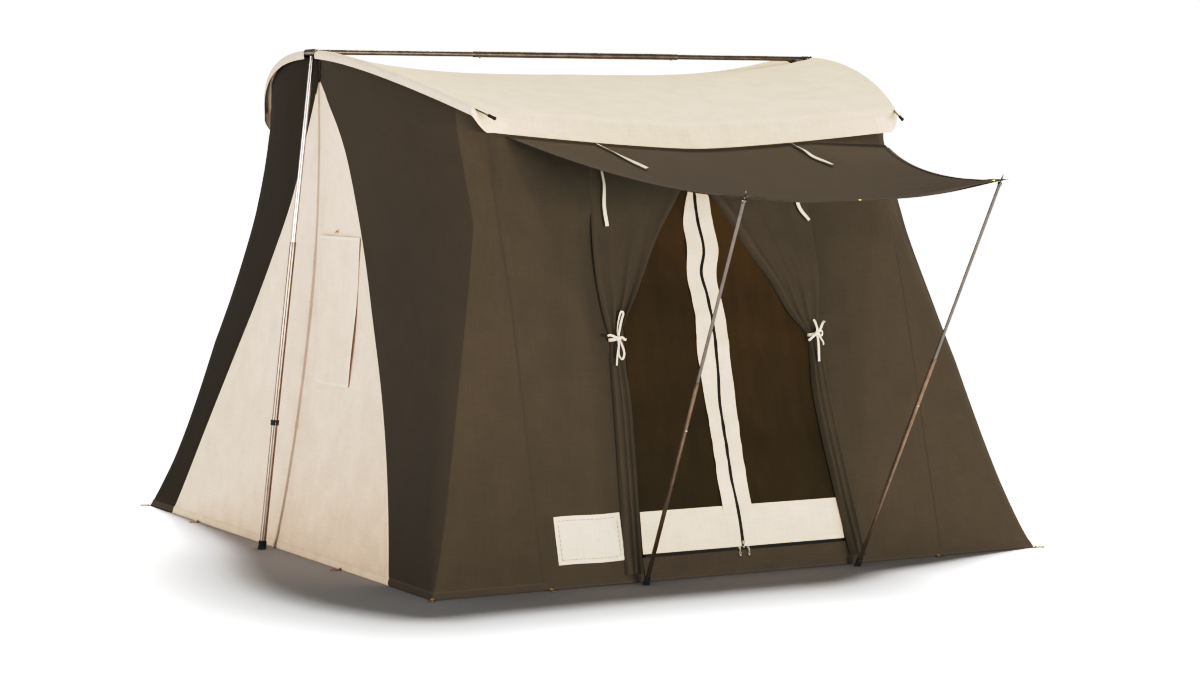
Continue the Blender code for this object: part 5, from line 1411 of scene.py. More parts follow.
def flap(tag, side, outer, inner, tie_z):
    n, m = 61, 120
    zs = np.concatenate((np.linspace(1.612, 1.0, 62), np.linspace(1.0, 0.80, 28)[1:], np.linspace(0.80, 0.03, 32)[1:]))
    t = np.linspace(0, 1, n)            # 0 at the outer side, 1 at the free edge
    P, disp = [], []
    for z in zs:
        xo, xi = float(outer(z)), float(inner(z))
        P.append([door_pt(xo + (xi - xo) * s, z, 0.0) for s in t])
        above = np.clip((z - tie_z) / (1.60 - tie_z), 0, 1)
        below = np.clip((tie_z - z) / tie_z, 0, 1)
        grip = math.exp(-((z - tie_z) / (0.055 if z > tie_z else 0.07)) ** 2)
        if z >= tie_z:
            fold = 0.016 * (1 - above) ** 1.3 * (1 - 0.45 * grip)
            pleats = 3.4
            gather = 0.010 * (1 - above) ** 2
        else:
            fold = 0.013 * (0.55 + 0.45 * below) * (1 - 0.5 * grip)
            pleats = 2.6
            gather = 0.010
        phase = 0.6 + 2.0 * (above if z >= tie_z else -0.3 * below)
        wave = np.sin(2 * math.pi * (t ** 1.25) * pleats + phase)
        wave = np.sign(wave) * np.abs(wave) ** 0.8
        d = 0.0095 + gather + fold * (0.5 + 0.5 * wave) * np.clip(t * 5, 0, 1)
        # the free edge rolls back on itself: a raised welt, then the turned-in hem
        welt = np.exp(-((t - 0.93) / 0.045) ** 2) * (0.010 * (1 - 0.4 * grip)) * np.clip((1.60 - z) / 0.2, 0, 1)
        turn = np.clip((t - 0.955) / 0.045, 0, 1) ** 1.5 * 0.016 * np.clip((1.60 - z) / 0.15, 0, 1)
        d = d + welt - turn
        # the outer side is sewn flat to the wall above the tie
        d = d * np.clip(t / 0.06, 0.0, 1) ** 0.7 + 0.0035 * (1 - np.clip(t / 0.06, 0, 1))
        pinch = 1 - 0.35 * grip
        disp.append(d * pinch)
    P, disp = np.array(P), np.array(disp)
    disp += soft_noise(P, 1.0, 90.0 + side, (9, 1, 3.0)) * 0.0035 * np.clip(t / 0.1, 0, 1)[None, :]
    P = P + DOOR_OUT * disp[:, :, None]
    obj = skin("flap_cloth_" + tag, P, (0, -1, 0.2), MAT_BROWN, "root", None, thick=0.0011,
               replaces=("door_flap_" + tag,))
    return P


flap("left", -1, FL_OUT, FL_IN, 0.905)
flap("right", 1, FR_OUT, FR_IN, 0.893)


def tie(tag, side, x, z):
    """Cream tape round the gathered flap, tied in a bow: points are metres
    along the wall, up it and out from it, from the knot."""
    t = unit(np.array((0, DOOR_SLOPE, 1.0)))
    r = np.array((1.0, 0, 0))
    o = door_pt(x, z, 0.036)

    def at(px, pz, out):
        return o + r * px + t * pz + DOOR_OUT * out

    bag = Bag()

    def loop(points, width, twist=0.0, steps=34):
        path = np.array([list(p) for p in smooth_path([tuple(at(*q)) for q in points], steps)])
        tan = unit(np.gradient(path, axis=0))
        face = np.tile(DOOR_OUT, (len(path), 1))
        across = unit(np.cross(tan, face))
        up = np.cross(across, tan)
        a = np.linspace(0, twist, len(path))[:, None]
        a2 = across * np.cos(a) + up * np.sin(a)
        bag.ribbon(path, a2, np.cross(a2, tan), width * 0.76, 0.0008)

    # band round the gathers
    band = []
    for k in range(28):
        a = 2 * math.pi * k / 27
        band.append((0.028 * math.cos(a), 0.002 * math.sin(2 * a), -0.020 + 0.021 * math.sin(a)))
    path = np.array([at(*p) for p in band])
    tan = unit(np.gradient(path, axis=0))
    up = unit(path - at(0, 0, -0.020))
    across = unit(np.cross(tan, up))
    bag.ribbon(path, across, up, 0.013, 0.0009)
    if tag == "left":
        loop([(0, 0, 0.004), (0.006, 0.030, 0.010), (0.020, 0.070, 0.012), (0.034, 0.098, 0.008),
              (0.026, 0.104, 0.004), (0.012, 0.072, 0.003), (0.0, 0.028, 0.004), (0, 0, 0.006)], 0.011, 0.5)
        loop([(0, 0, 0.006), (0.008, -0.026, 0.012), (0.014, -0.060, 0.012), (0.004, -0.082, 0.008),
              (-0.006, -0.066, 0.005), (-0.004, -0.030, 0.005), (0, 0, 0.005)], 0.011, -0.4)
        loop([(0, 0, 0.007), (-0.018, 0.006, 0.012), (-0.034, 0.014, 0.007), (-0.044, 0.012, 0.001)], 0.012, 0.6)
        loop([(0, 0, 0.007), (0.014, 0.002, 0.012), (0.026, -0.006, 0.009), (0.036, -0.004, 0.002)], 0.012, -0.5)
        loop([(0, 0, 0.004), (-0.004, -0.030, 0.008), (-0.014, -0.066, 0.006), (-0.020, -0.104, 0.001)], 0.012, 0.4)
    else:
        loop([(0, 0, 0.006), (0.012, 0.016, 0.014), (0.028, 0.040, 0.013), (0.044, 0.050, 0.004)], 0.013, 0.5)
        loop([(0, 0, 0.006), (-0.002, 0.020, 0.013), (-0.004, 0.046, 0.008), (-0.006, 0.058, 0.002)], 0.012, 0.4)
        loop([(0, 0, 0.006), (-0.016, -0.006, 0.012), (-0.034, -0.020, 0.007), (-0.042, -0.026, 0.001)], 0.012, -0.5)
        loop([(0, 0, 0.006), (0.012, 0.010, 0.013), (0.022, 0.006, 0.010), (0.020, -0.008, 0.007), (0.006, -0.008, 0.005)], 0.010, 0.3)
        loop([(0, 0, 0.006), (0.010, -0.020, 0.011), (0.022, -0.034, 0.006), (0.026, -0.046, 0.001)], 0.011, 0.3)
        loop([(0, 0, 0.004), (-0.002, -0.040, 0.008), (-0.004, -0.078, 0.005), (-0.006, -0.112, 0.001)], 0.012, -0.5)
    # the knot itself: crossed turns
    for a0 in (0.5, -0.7, 1.5):
        pts = []
        for k in range(16):
            a = 2 * math.pi * k / 15
            pts.append(at(0.0085 * math.cos(a) * math.cos(a0), 0.0085 * math.cos(a) * math.sin(a0) + 0.002, 0.006 + 0.0065 * math.sin(a)))
        p = np.array(pts)
        tn = unit(np.gradient(p, axis=0))
        up2 = unit(p - at(0, 0.002, 0.006) + 1e-9)
        bag.ribbon(p, unit(np.cross(tn, up2)), up2, 0.0095, 0.0011)
    bag.make("tie_bow_" + tag, MAT_TAPE, "root", "tape")


tie("left", -1, -0.481, 0.905)
tie("right", 1, 0.428, 0.893)

# === TRIM ===
MAT_HEM_BROWN = stitched("hem_brown", (0.112, 0.091, 0.064), (0.150, 0.124, 0.090), (0.0115,), 0.03)
MAT_HEM_SIDE = stitched("hem_brown_low", (0.096, 0.077, 0.054), (0.145, 0.120, 0.088), (0.0115, 0.0085), 0.03)
MAT_HEM_CREAM = stitched("hem_cream", (0.69, 0.585, 0.48), (0.55, 0.47, 0.38), (0.0115, 0.0085), 0.03)
# lighter cream for edge ribbons and hems; on the gable seams its lightness is a painted highlight
MAT_EDGE_CREAM_AND_HIGHLIGHT = stitched("edge_cream_and_painted_highlight", (0.76, 0.68, 0.585), (0.60, 0.52, 0.43), (0.0,), 0.006)
# near-black seam tape: painted shadow of the upright along the seam above each gable
MAT_SEAM_PAINTED_SHADOW = stitched("seam_painted_shadow", (0.028, 0.022, 0.016), (0.060, 0.048, 0.034), (-0.0020, 0.0020), 0.008)
MAT_THREAD = moulded("sewing_thread", (0.055, 0.042, 0.030), 0.8, grain=1500.0, dust=0.05)


def grid_at(name, i, j):
    """Point and normal of a finished sheet at fractional row i and column j."""
    P, N = SKINS[name]
    i = min(max(i, 0.0), P.shape[0] - 1.0)
    j = min(max(j, 0.0), P.shape[1] - 1.0)
    i0, j0 = min(int(i), P.shape[0] - 2), min(int(j), P.shape[1] - 2)
    fi, fj = i - i0, j - j0
    out = []
    for G in (P, N):
        out.append((G[i0, j0] * (1 - fi) + G[i0 + 1, j0] * fi) * (1 - fj)
                   + (G[i0, j0 + 1] * (1 - fi) + G[i0 + 1, j0 + 1] * fi) * fj)
    return out[0], out[1] / np.linalg.norm(out[1])


def lay(bag, name, cells, width, height, lift=0.0004, mat=0, crown=5):
    """A ribbon that follows a sheet through the given grid cells."""
    found = [grid_at(name, i, j) for i, j in cells]
    P = np.array([f[0] for f in found])
    N = unit(np.array([f[1] for f in found]))
    run = np.linalg.norm(np.diff(P, axis=0), axis=1)
    keep = np.concatenate(([True], run > 1e-5))
    P, N = P[keep], N[keep]
    T = unit(np.gradient(P, axis=0))
    bag.ribbon(P + N * lift, unit(np.cross(T, N)), N, width, height, mat, crown=crown)
    return P, N


def columns_of(name, step=1.0, first=0.0, last=None):
    top = SKINS[name][0].shape[1] - 1.0
    last = top if last is None else last
    return np.linspace(first, last, int(round((last - first) / step)) + 1)


def rows_of(name, step=1.0, first=0.0, last=None):
    top = SKINS[name][0].shape[0] - 1.0
    last = top if last is None else last
    return np.linspace(first, last, int(round((last - first) / step)) + 1)


# felled seams between the panels, and the folded hem all round
for tag in ("front_left", "front_right", "rear_left", "rear_right"):
    name = "corner_cloth_" + tag
    cols = SKINS[name][0].shape[1] - 1.0
    bag = Bag()
    lay(bag, name, [(i, 0.35) for i in rows_of(name, 1.0, 0.0)], 0.0075, 0.0007)
    bag.make("seam_wall_" + tag, MAT_SEAM_BROWN, "root", "canvas_brown")
    bag = Bag()
    lay(bag, name, [(0.9, j) for j in columns_of(name, 0.5)], 0.028, 0.0011)
    bag.make("hem_corner_" + tag, MAT_HEM_SIDE, "root", "canvas_brown")
for tag in ("left", "right"):
    name = "gable_cloth_" + tag
    cols = SKINS[name][0].shape[1] - 1.0
    bag = Bag()
    # the lighter cream of these edge ribbons is a painted highlight along each gable seam
    for edge in (0.18, cols - 0.18):
        lay(bag, name, [(i, edge) for i in rows_of(name, 1.0, 0.0, SKINS[name][0].shape[0] - 3.0)], 0.0065, 0.0012, mat=0)
    for edge in (0.62, cols - 0.62):
        lay(bag, name, [(i, edge + (0.0 if edge < 2 else 0.0)) for i in rows_of(name, 1.0, 0.0, SKINS[name][0].shape[0] - 14.0)],
            0.0012, 0.0004, lift=0.0002, mat=1)
    bag.make("seam_gable_" + tag, [MAT_EDGE_CREAM_AND_HIGHLIGHT, MAT_SEAM_CREAM], "root", "canvas_cream")
    bag = Bag()
    lay(bag, name, [(0.9, j) for j in columns_of(name, 0.5)], 0.028, 0.0011)
    bag.make("hem_gable_" + tag, MAT_HEM_CREAM, "root", "canvas_cream")
bag = Bag()
wall_n = 30
for first, last in ((0.0, wall_n - 1.2), (SKINS["front_wall_cloth"][0].shape[1] - wall_n + 0.2, None)):
    lay(bag, "front_wall_cloth", [(0.75, j) for j in columns_of("front_wall_cloth", 0.5, first, last)], 0.028, 0.0011)
lay(bag, "door_sill_cloth", [(2.2, j) for j in columns_of("door_sill_cloth", 1.0, 0.4, 58.6)], 0.028, 0.0011)
bag.make("hem_front", MAT_HEM_SIDE, "root", "canvas_brown")
bag = Bag()
lay(bag, "rear_wall_cloth", [(0.9, j) for j in columns_of("rear_wall_cloth", 0.5)], 0.028, 0.0011)
bag.make("hem_rear", MAT_HEM_SIDE, "root", "canvas_brown")

# awning: folded side hems, a wider front hem, and a brass eyelet in each
rows_a, cols_a = SKINS["awning_cloth"][0].shape[0] - 1.0, SKINS["awning_cloth"][0].shape[1] - 1.0
bag = Bag()
for j in (1.15, cols_a - 1.15):
    lay(bag, "awning_cloth", [(i, j) for i in rows_of("awning_cloth", 0.7, 2.0, rows_a - 2.4)], 0.021, 0.0010)
bag.make("hem_awning_sides", MAT_HEM_BROWN, "awning", "canvas_brown")
bag = Bag()
lay(bag, "awning_cloth", [(rows_a - 1.25, j) for j in columns_of("awning_cloth", 0.5, 0.6, cols_a - 0.6)], 0.030, 0.0012, crown=7)
bag.make("hem_awning_front", MAT_HEM_BROWN, "awning", "canvas_brown")


def eyelet(bag, center, normal, hole=0.0046, rim=0.0098, height=0.0018):
    """A rolled brass ring with a flat flange, both sides of the cloth."""
    for sign in (1, -1):
        bag.lathe(center, np.array(normal) * sign,
                  [(hole, -0.0006), (hole, height * 0.55), (hole * 1.12, height), (hole * 1.45, height),
                   (hole * 1.70, height * 0.60), (rim * 0.92, 0.0007), (rim, 0.0003), (rim, -0.0003)], 28, closed=True)


bag = Bag()
for j in (2.05, cols_a - 2.05, cols_a * 0.475):
    c, nrm = grid_at("awning_cloth", rows_a - (2.4 if j in (2.05, cols_a - 2.05) else 1.6), j)
    eyelet(bag, c + nrm * 0.0015, nrm)
bag.make("eyelets_awning", MAT_BRASS, "awning")


# the gathered seam between the two corner panels above each gable, near-black: painted shadow of the upright on it
for tag, side in (("left", -1), ("right", 1)):
    zs_ = np.linspace(GABLE_APEX_Z - 0.012, side_point(0, 1)[2] - 0.004, 46)
    pts_ = []
    for z_ in zs_:
        t_ = (z_ - zs_[0]) / (zs_[-1] - zs_[0])
        y_ = -0.010 + 0.0050 * math.sin(t_ * 17.0) * (0.4 + t_) + 0.0028 * math.sin(t_ * 41.0) - 0.016 * t_
        pts_.append(side_surface(y_, z_, 0.0022 + 0.0008 * math.sin(t_ * 29.0)) * (-side, 1, 1))
    pts_ = np.array(pts_)
    tn_ = unit(np.gradient(pts_, axis=0))
    out_ = np.tile((side * 1.0, 0.0, 0.12), (len(pts_), 1))
    ac_ = unit(np.cross(tn_, out_))
    bag = Bag()
    bag.ribbon(pts_, ac_, unit(np.cross(ac_, tn_)), 0.0085 + 0.0015 * np.sin(np.linspace(0, 30, 46)), 0.0016)
    bag.make("seam_apex_" + tag, MAT_SEAM_PAINTED_SHADOW, "root", "canvas_brown")


# light flap on the left gable: sewn along its top, its free edge stands a little proud
def flap_grid(nu, nv, out):
    rows_ = []
    for i in range(nv):
        f = i / (nv - 1)
        y0, y1 = -0.052 + (-0.140 + 0.052) * f, -0.418 + (-0.440 + 0.418) * f
        z = 1.283 + (0.690 - 1.283) * f
        rows_.append([side_surface(y0 + (y1 - y0) * k / (nu - 1), z - 0.004 * math.sin(math.pi * k / (nu - 1)) * f, out)
                      for k in range(nu)])
    return np.array(rows_)


FG = flap_grid(30, 44, 0.0)
fu = np.linspace(0, 1, 30)[None, :]
fv = np.linspace(0, 1, 44)[:, None]
fd = 0.0086 + 0.0020 * np.sin(fv * 9 + 1.0) * fu ** 2 - 0.0026 * fu ** 8
fd = fd + soft_noise(FG, 1.0, 44.0, (1, 7, 3)) * 0.0022 * np.clip(fv / 0.15, 0, 1)
light_flap = skin("light_flap_cloth", FG, (-1, 0, 0.1), MAT_CREAM, "gable_flap", fd, thick=0.0014,
                  replaces=("stove_flap",))
bag = Bag()
lay(bag, "light_flap_cloth", [(0.35, j) for j in np.linspace(0.4, 28.6, 30)], 0.010, 0.0006)
lay(bag, "light_flap_cloth", [(i, 28.6) for i in np.linspace(0.6, 42.6, 60)], 0.009, 0.0007)
lay(bag, "light_flap_cloth", [(i, 0.4) for i in np.linspace(0.6, 42.6, 60)], 0.009, 0.0006)
lay(bag, "light_flap_cloth", [(42.6, j) for j in np.linspace(0.4, 28.6, 30)], 0.010, 0.0007)
bag.make("light_flap_hems", MAT_EDGE_CREAM_AND_HIGHLIGHT, "gable_flap", "canvas_cream")

# small toggle and its cord loop, on the gable just above the flap
bag = Bag()
tc = side_surface(-0.222, 1.302, 0.010)
td = unit(np.array((0.0, 0.86, -0.30)))
bag.lathe(tc - td * 0.013, td, [(0, 0), (0.0024, 0.0004), (0.0034, 0.004), (0.0027, 0.0105), (0.0022, 0.013),
                                (0.0027, 0.0155), (0.0034, 0.022), (0.0024, 0.0256), (0, 0.026)], 16)
loop_pts = [side_surface(-0.222, 1.312, 0.004), side_surface(-0.226, 1.307, 0.0115), side_surface(-0.222, 1.3015, 0.0142),
            side_surface(-0.218, 1.298, 0.0115), side_surface(-0.217, 1.308, 0.006), side_surface(-0.219, 1.314, 0.004)]
bag.sweep([list(p) for p in smooth_path(loop_pts, 24)], 0.0011, n=8, mat=1)
bag.make("toggle", [MAT_WOOD, MAT_TAPE], "root")

# the sewn patch by the door, with a line of hand stitches just inside its edge
PW = SKINS["front_wall_cloth"]


def wall_depth(x, z):
    """y of the finished front wall, folds and all, at x and z."""
    d2 = (PW[0][:, :, 0] - x) ** 2 + (PW[0][:, :, 2] - z) ** 2
    i, j = np.unravel_index(int(np.argmin(d2)), d2.shape)
    near = [(a, b) for a in range(max(0, i - 2), min(d2.shape[0], i + 3))
            for b in range(max(0, j - 2), min(d2.shape[1], j + 3))]
    w = np.array([1.0 / (d2[a, b] + 2e-5) for a, b in near])
    return float((w * np.array([PW[0][a, b, 1] for a, b in near])).sum() / w.sum())


lx = np.linspace(0, 1, 29)
patch_rows = []
for f in np.linspace(0, 1, 19):
    line = []
    for g in lx:
        x = -0.834 + (-0.551 + 0.834) * g
        z = 0.086 + (0.263 - 0.086) * f + 0.0012 * math.sin(g * 7)
        edge = min(g, 1 - g, f * 0.63, (1 - f) * 0.63)
        line.append((x, wall_depth(x, z) - 0.0022 - 0.0014 * min(1.0, edge / 0.05), z))
    patch_rows.append(line)
LP = np.array(patch_rows)
patch = skin("patch_cloth_sewn", LP, (0, -1, 0.2), MAT_LABEL, "root", soft_noise(LP, 1.0, 5.0, (12, 1, 12)) * 0.0010,
             thick=0.0016)
bag = Bag()
for line in ([(1.7, j) for j in np.linspace(1.6, 26.4, 240)], [(16.3, j) for j in np.linspace(1.6, 26.4, 240)],
             [(i, 1.6) for i in np.linspace(1.7, 16.3, 150)], [(i, 26.4) for i in np.linspace(1.7, 16.3, 150)]):
    pts = [grid_at("patch_cloth_sewn", *c) for c in line]
    P_ = np.array([p[0] for p in pts])
    run_ = np.concatenate(([0.0], np.cumsum(np.linalg.norm(np.diff(P_, axis=0), axis=1))))
    at_ = 0.0
    while at_ + 0.012 < run_[-1]:
        s_ = np.linspace(at_, at_ + 0.012, 7)
        sag = 0.0003 + 0.0007 * np.sin(np.linspace(0, math.pi, 7))
        nrm = pts[int(np.searchsorted(run_, at_))][1]
        bag.sweep(at_length(P_, run_, s_) + nrm * sag[:, None], 0.0007, n=6, normal=nrm)
        at_ += 0.0175
bag.make("patch_stitches", MAT_THREAD, "root")
bag = Bag()
lay(bag, "patch_cloth_sewn", [(i, 0.35) for i in np.linspace(0.3, 17.7, 40)], 0.006, 0.0006)
lay(bag, "patch_cloth_sewn", [(i, 27.65) for i in np.linspace(0.3, 17.7, 40)], 0.006, 0.0006)
lay(bag, "patch_cloth_sewn", [(0.35, j) for j in np.linspace(0.3, 27.7, 50)], 0.006, 0.0006)
lay(bag, "patch_cloth_sewn", [(17.65, j) for j in np.linspace(0.3, 27.7, 50)], 0.006, 0.0006)
bag.make("patch_edges", MAT_EDGE_CREAM_AND_HIGHLIGHT, "root", "canvas_cream")


# ------------------------------------------------------------ steel frame
def hollow(bag, p0, p1, r, wall, mat=0, n=28, roll=0.0008, depth=0.05):
    """Tube with a lightly rolled mouth at each end, open to a short depth."""
    p0, p1 = np.array(p0, float), np.array(p1, float)
    run = float(np.linalg.norm(p1 - p0))
    stops = [0.0015, 0.004] + list(np.linspace(0.02, run - 0.02, 6)) + [run - 0.004, run - 0.0015]
    prof = [(r - wall, depth), (r - wall, 0.0008), (r - wall * 0.5, 0.0), (r - 0.0002, 0.0004)]
    prof += [(r + (roll * 0.25 if k in (0, len(stops) - 1) else 0.0), s) for k, s in enumerate(stops)]
    prof += [(r - 0.0002, run - 0.0004), (r - wall * 0.5, run), (r - wall, run - 0.0008), (r - wall, run - depth)]
    bag.lathe(p0, p1 - p0, [(0, depth)] + prof + [(0, run - depth)], n, mat)


def shells(bag, base, down, cross, r, wall, half_gap, run, mat=0, n=14):
    """The two cheeks of a forked tube end, either side of a slot."""
    d = unit(down)
    y = unit(np.array(cross, float) - d * (d @ np.array(cross, float)))
    x = np.cross(y, d)
    for s in (1, -1):
        a0 = math.asin(half_gap / r)
        b0 = math.asin(half_gap / (r - wall))
        start = len(bag.v)
        stations = ((0.0, 0.60), (0.0018, 0.88), (0.004, 1.0), (run, 1.0))
        for dist, share in stations:
            for rad, a_0 in ((r, a0), (r - wall, b0)):
                for k in range(n):
                    t = a_0 + (math.pi - 2 * a_0) * (0.5 + (k / (n - 1) - 0.5) * share)
                    bag.v.append(np.array(base) + d * dist + (x * math.cos(t) + y * math.sin(t)) * rad * s)
        ring = 2 * n
        for q in range(len(stations) - 1):
            a, b = start + q * ring, start + (q + 1) * ring
            order = list(range(n)) + list(range(2 * n - 1, n - 1, -1))
            for k in range(ring):
                i, j = order[k], order[(k + 1) % ring]
                bag.f.append([a + i, a + j, b + j, b + i])
                bag.uv.append([(0, 0), (0.001, 0), (0.001, 0.01), (0, 0.01)])
                bag.m.append(mat)
        for at_q in (0, len(stations) - 1):
            a = start + at_q * ring
            for k in range(n - 1):
                bag.f.append([a + k, a + k + 1, a + n + k + 1, a + n + k])
                bag.uv.append([(0, 0), (0.001, 0), (0.001, 0.001), (0, 0.001)])
                bag.m.append(mat)


def rivet(bag, center, axis, half, r, mat=0):
    c, d = np.array(center, float), unit(axis)
    bag.lathe(c - d * half, d, [(0, 0), (r * 1.1, 0.0004), (r * 1.5, 0.0014), (r * 1.5, 0.0021), (r, 0.0023),
                                (r, 2 * half - 0.0023), (r * 1.5, 2 * half - 0.0021), (r * 1.5, 2 * half - 0.0014),
                                (r * 1.1, 2 * half - 0.0004), (0, 2 * half)], 18, mat)


# ridge: the wide middle tube, and on each end tube a tee with its lug
bag = Bag()
hollow(bag, (RIDGE_JOINT_L, 0, RIDGE_Z), (RIDGE_JOINT_R, 0, RIDGE_Z), RIDGE_CENTER_R, 0.0018)
for x in (RIDGE_JOINT_L + 0.030, RIDGE_JOINT_R - 0.030):     # snap buttons of the end tubes
    bag.lathe((x, 0, RIDGE_Z - RIDGE_CENTER_R + 0.001), (0, 0, -1), [(0.0052, 0), (0.0052, 0.0012), (0.0040, 0.0016),
                                                                 (0.0038, 0.0030), (0.0024, 0.0042), (0, 0.0046)], 18)
bag.make("ridge_tube_middle", MAT_RIDGE, "root", "steel_tube", ("ridge_center_tube",))
for tag, side, joint in (("left", -1, RIDGE_JOINT_L), ("right", 1, RIDGE_JOINT_R)):
    bag = Bag()
    inner = joint - side * 0.12
    base = np.array((side * (T_X - 0.0045), 0, RIDGE_Z))
    hollow(bag, base, (inner, 0, RIDGE_Z), RIDGE_R, 0.0015)
    h = TEE_HALF
    bag.lathe((side * T_X, -h, RIDGE_Z), (0, 1, 0),
              [(0.0062, 0.0), (TEE_R - 0.0008, 0.0), (TEE_R, 0.0010), (TEE_R, 2 * h - 0.0010), (TEE_R - 0.0008, 2 * h),
               (0.0062, 2 * h)], 28, closed=True)
    # weld bead where the tubes meet, and the lug with its eye below
    bead = []
    for k in range(28):
        a = 2 * math.pi * k / 28
        yy_, zz_ = (RIDGE_R + 0.0006) * math.cos(a), (RIDGE_R + 0.0006) * math.sin(a)
        off = math.sqrt(max(0.0, (TEE_R + 0.0004) ** 2 - zz_ ** 2))
        bead.append((side * (T_X - off) + 0.0003 * math.sin(5 * a), yy_, RIDGE_Z + zz_))
    bag.sweep(bead, 0.0013, n=8, closed=True)
    lug_n = 22
    z_pin = RIDGE_Z - PIN_DROP
    start = len(bag.v)
    outer, hole = [], []
    for k in range(lug_n):
        a = 2 * math.pi * k / lug_n
        ca, sa = math.cos(a), math.sin(a)
        if sa > 0.25:
            px_ = 0.008 * max(-1.0, min(1.0, ca / math.sqrt(1 - 0.25 ** 2)))
            pz_ = z_pin + 0.0225
        else:
            px_, pz_ = 0.008 * ca, z_pin + 0.0105 * sa
        outer.append((px_, pz_))
        hole.append((0.0037 * ca, z_pin + 0.0037 * sa))
    for y_ in (-0.0025, 0.0025):
        for ring_pts in (outer, hole):
            for px_, pz_ in ring_pts:
                bag.v.append(np.array((side * T_X + px_, y_, pz_)))
    for k in range(lug_n):
        m = (k + 1) % lug_n
        a, b, c, d = start, start + lug_n, start + 2 * lug_n, start + 3 * lug_n
        for ids in ([a + k, a + m, b + m, b + k], [c + m, c + k, d + k, d + m], [a + k, c + k, c + m, a + m],
                    [b + m, d + m, d + k, b + k]):
            bag.f.append(ids)
            bag.uv.append([(0, 0), (0.002, 0), (0.002, 0.002), (0, 0.002)])
            bag.m.append(0)
    bag.make("ridge_tube_" + tag, MAT_RIDGE, "root", "steel_tube", ("ridge_end_" + tag,))

# spring steel rods through the side sleeves, with their rubber tips
for tag, side in (("left", -1), ("right", 1)):
    d = unit(np.array((-0.30 * side, 1.0, -0.36)))
    halves = []
    for end, out_by in ((-1, BAR_OUT_FRONT), (1, BAR_OUT_REAR)):
        pts_ = [np.array((side * bow_x(s, end), end * BAR_Y * s, bow_z(s, end))) for s in np.linspace(1.0, 0.0, 44)]
        far = np.array((d[0], d[1] * end, d[2]))
        corner_pt = pts_[0]
        lead = [corner_pt + far * (out_by / abs(far[1])) * f for f in (1.0, 0.6, 0.25)]
        halves.append(lead + pts_)
        tip, back_ = lead[0], lead[1]
        dd = unit(tip - back_)
        length = 0.036 if end < 0 else 0.024
        cap = Bag()
        cap.lathe(tip - dd * (length - 0.006), dd,
                  [(0, length - 0.0055), (BAR_R + 0.0004, length - 0.0055), (BAR_R + 0.0004, 0.0008), (0.0058, 0.0),
                   (0.0066, 0.0008), (0.0068, 0.0030), (0.0063, 0.0042), (0.0063, length * 0.55), (0.0066, length - 0.006),
                   (0.0074, length - 0.002), (0.0073, length + 0.0012), (0.0060, length + 0.0032), (0, length + 0.004)], 24)
        end_tag = ("front_" if end < 0 else "rear_") + tag
        cap.make("rod_cap_" + end_tag, MAT_RUBBER, "root", "black_rubber", ("bar_cap_" + end_tag,))
    path_ = halves[0] + list(reversed(halves[1]))[1:]
    bag = Bag()
    bag.sweep(path_, BAR_R, n=14)
    bag.make("spring_rod_" + tag, MAT_SPRING, "root", "spring_steel", ("bow_rod_" + tag,))


def rubber_foot(name, foot, down, r_out, bore, height, run_end, body, replaced):
    """Ribbed rubber cup whose worn sole lies level on the ground."""
    foot, down = np.array(foot, float), unit(down)
    base = foot - down * height
    cup = height - run_end + 0.001
    prof = [(0, cup), (bore, cup), (bore, 0.0008), (r_out - 0.0022, 0.0), (r_out - 0.0010, 0.0014)]
    for k in range(3):
        z_ = 0.005 + k * 0.0040
        prof += [(r_out - 0.0010, z_), (r_out, z_ + 0.0008), (r_out, z_ + 0.0020), (r_out - 0.0010, z_ + 0.0028)]
    prof += [(r_out - 0.0006, height - 0.012), (r_out + 0.0002, height - 0.006), (r_out + 0.0010, height - 0.0012),
             (r_out + 0.0004, height - 0.0002), (r_out - 0.0004, height), (0, height)]
    bag = Bag()
    bag.lathe(base, down, prof, 30)
    for k, v in enumerate(bag.v):
        along = (v - base) @ down
        if along > height - 0.0030:
            f = (along - (height - 0.0030)) / 0.0030
            bag.v[k] = v + down * ((v[2] - 0.0012 * (1 - f)) / -down[2])
    return bag.make(name, MAT_RUBBER, body, "black_rubber", (replaced,))


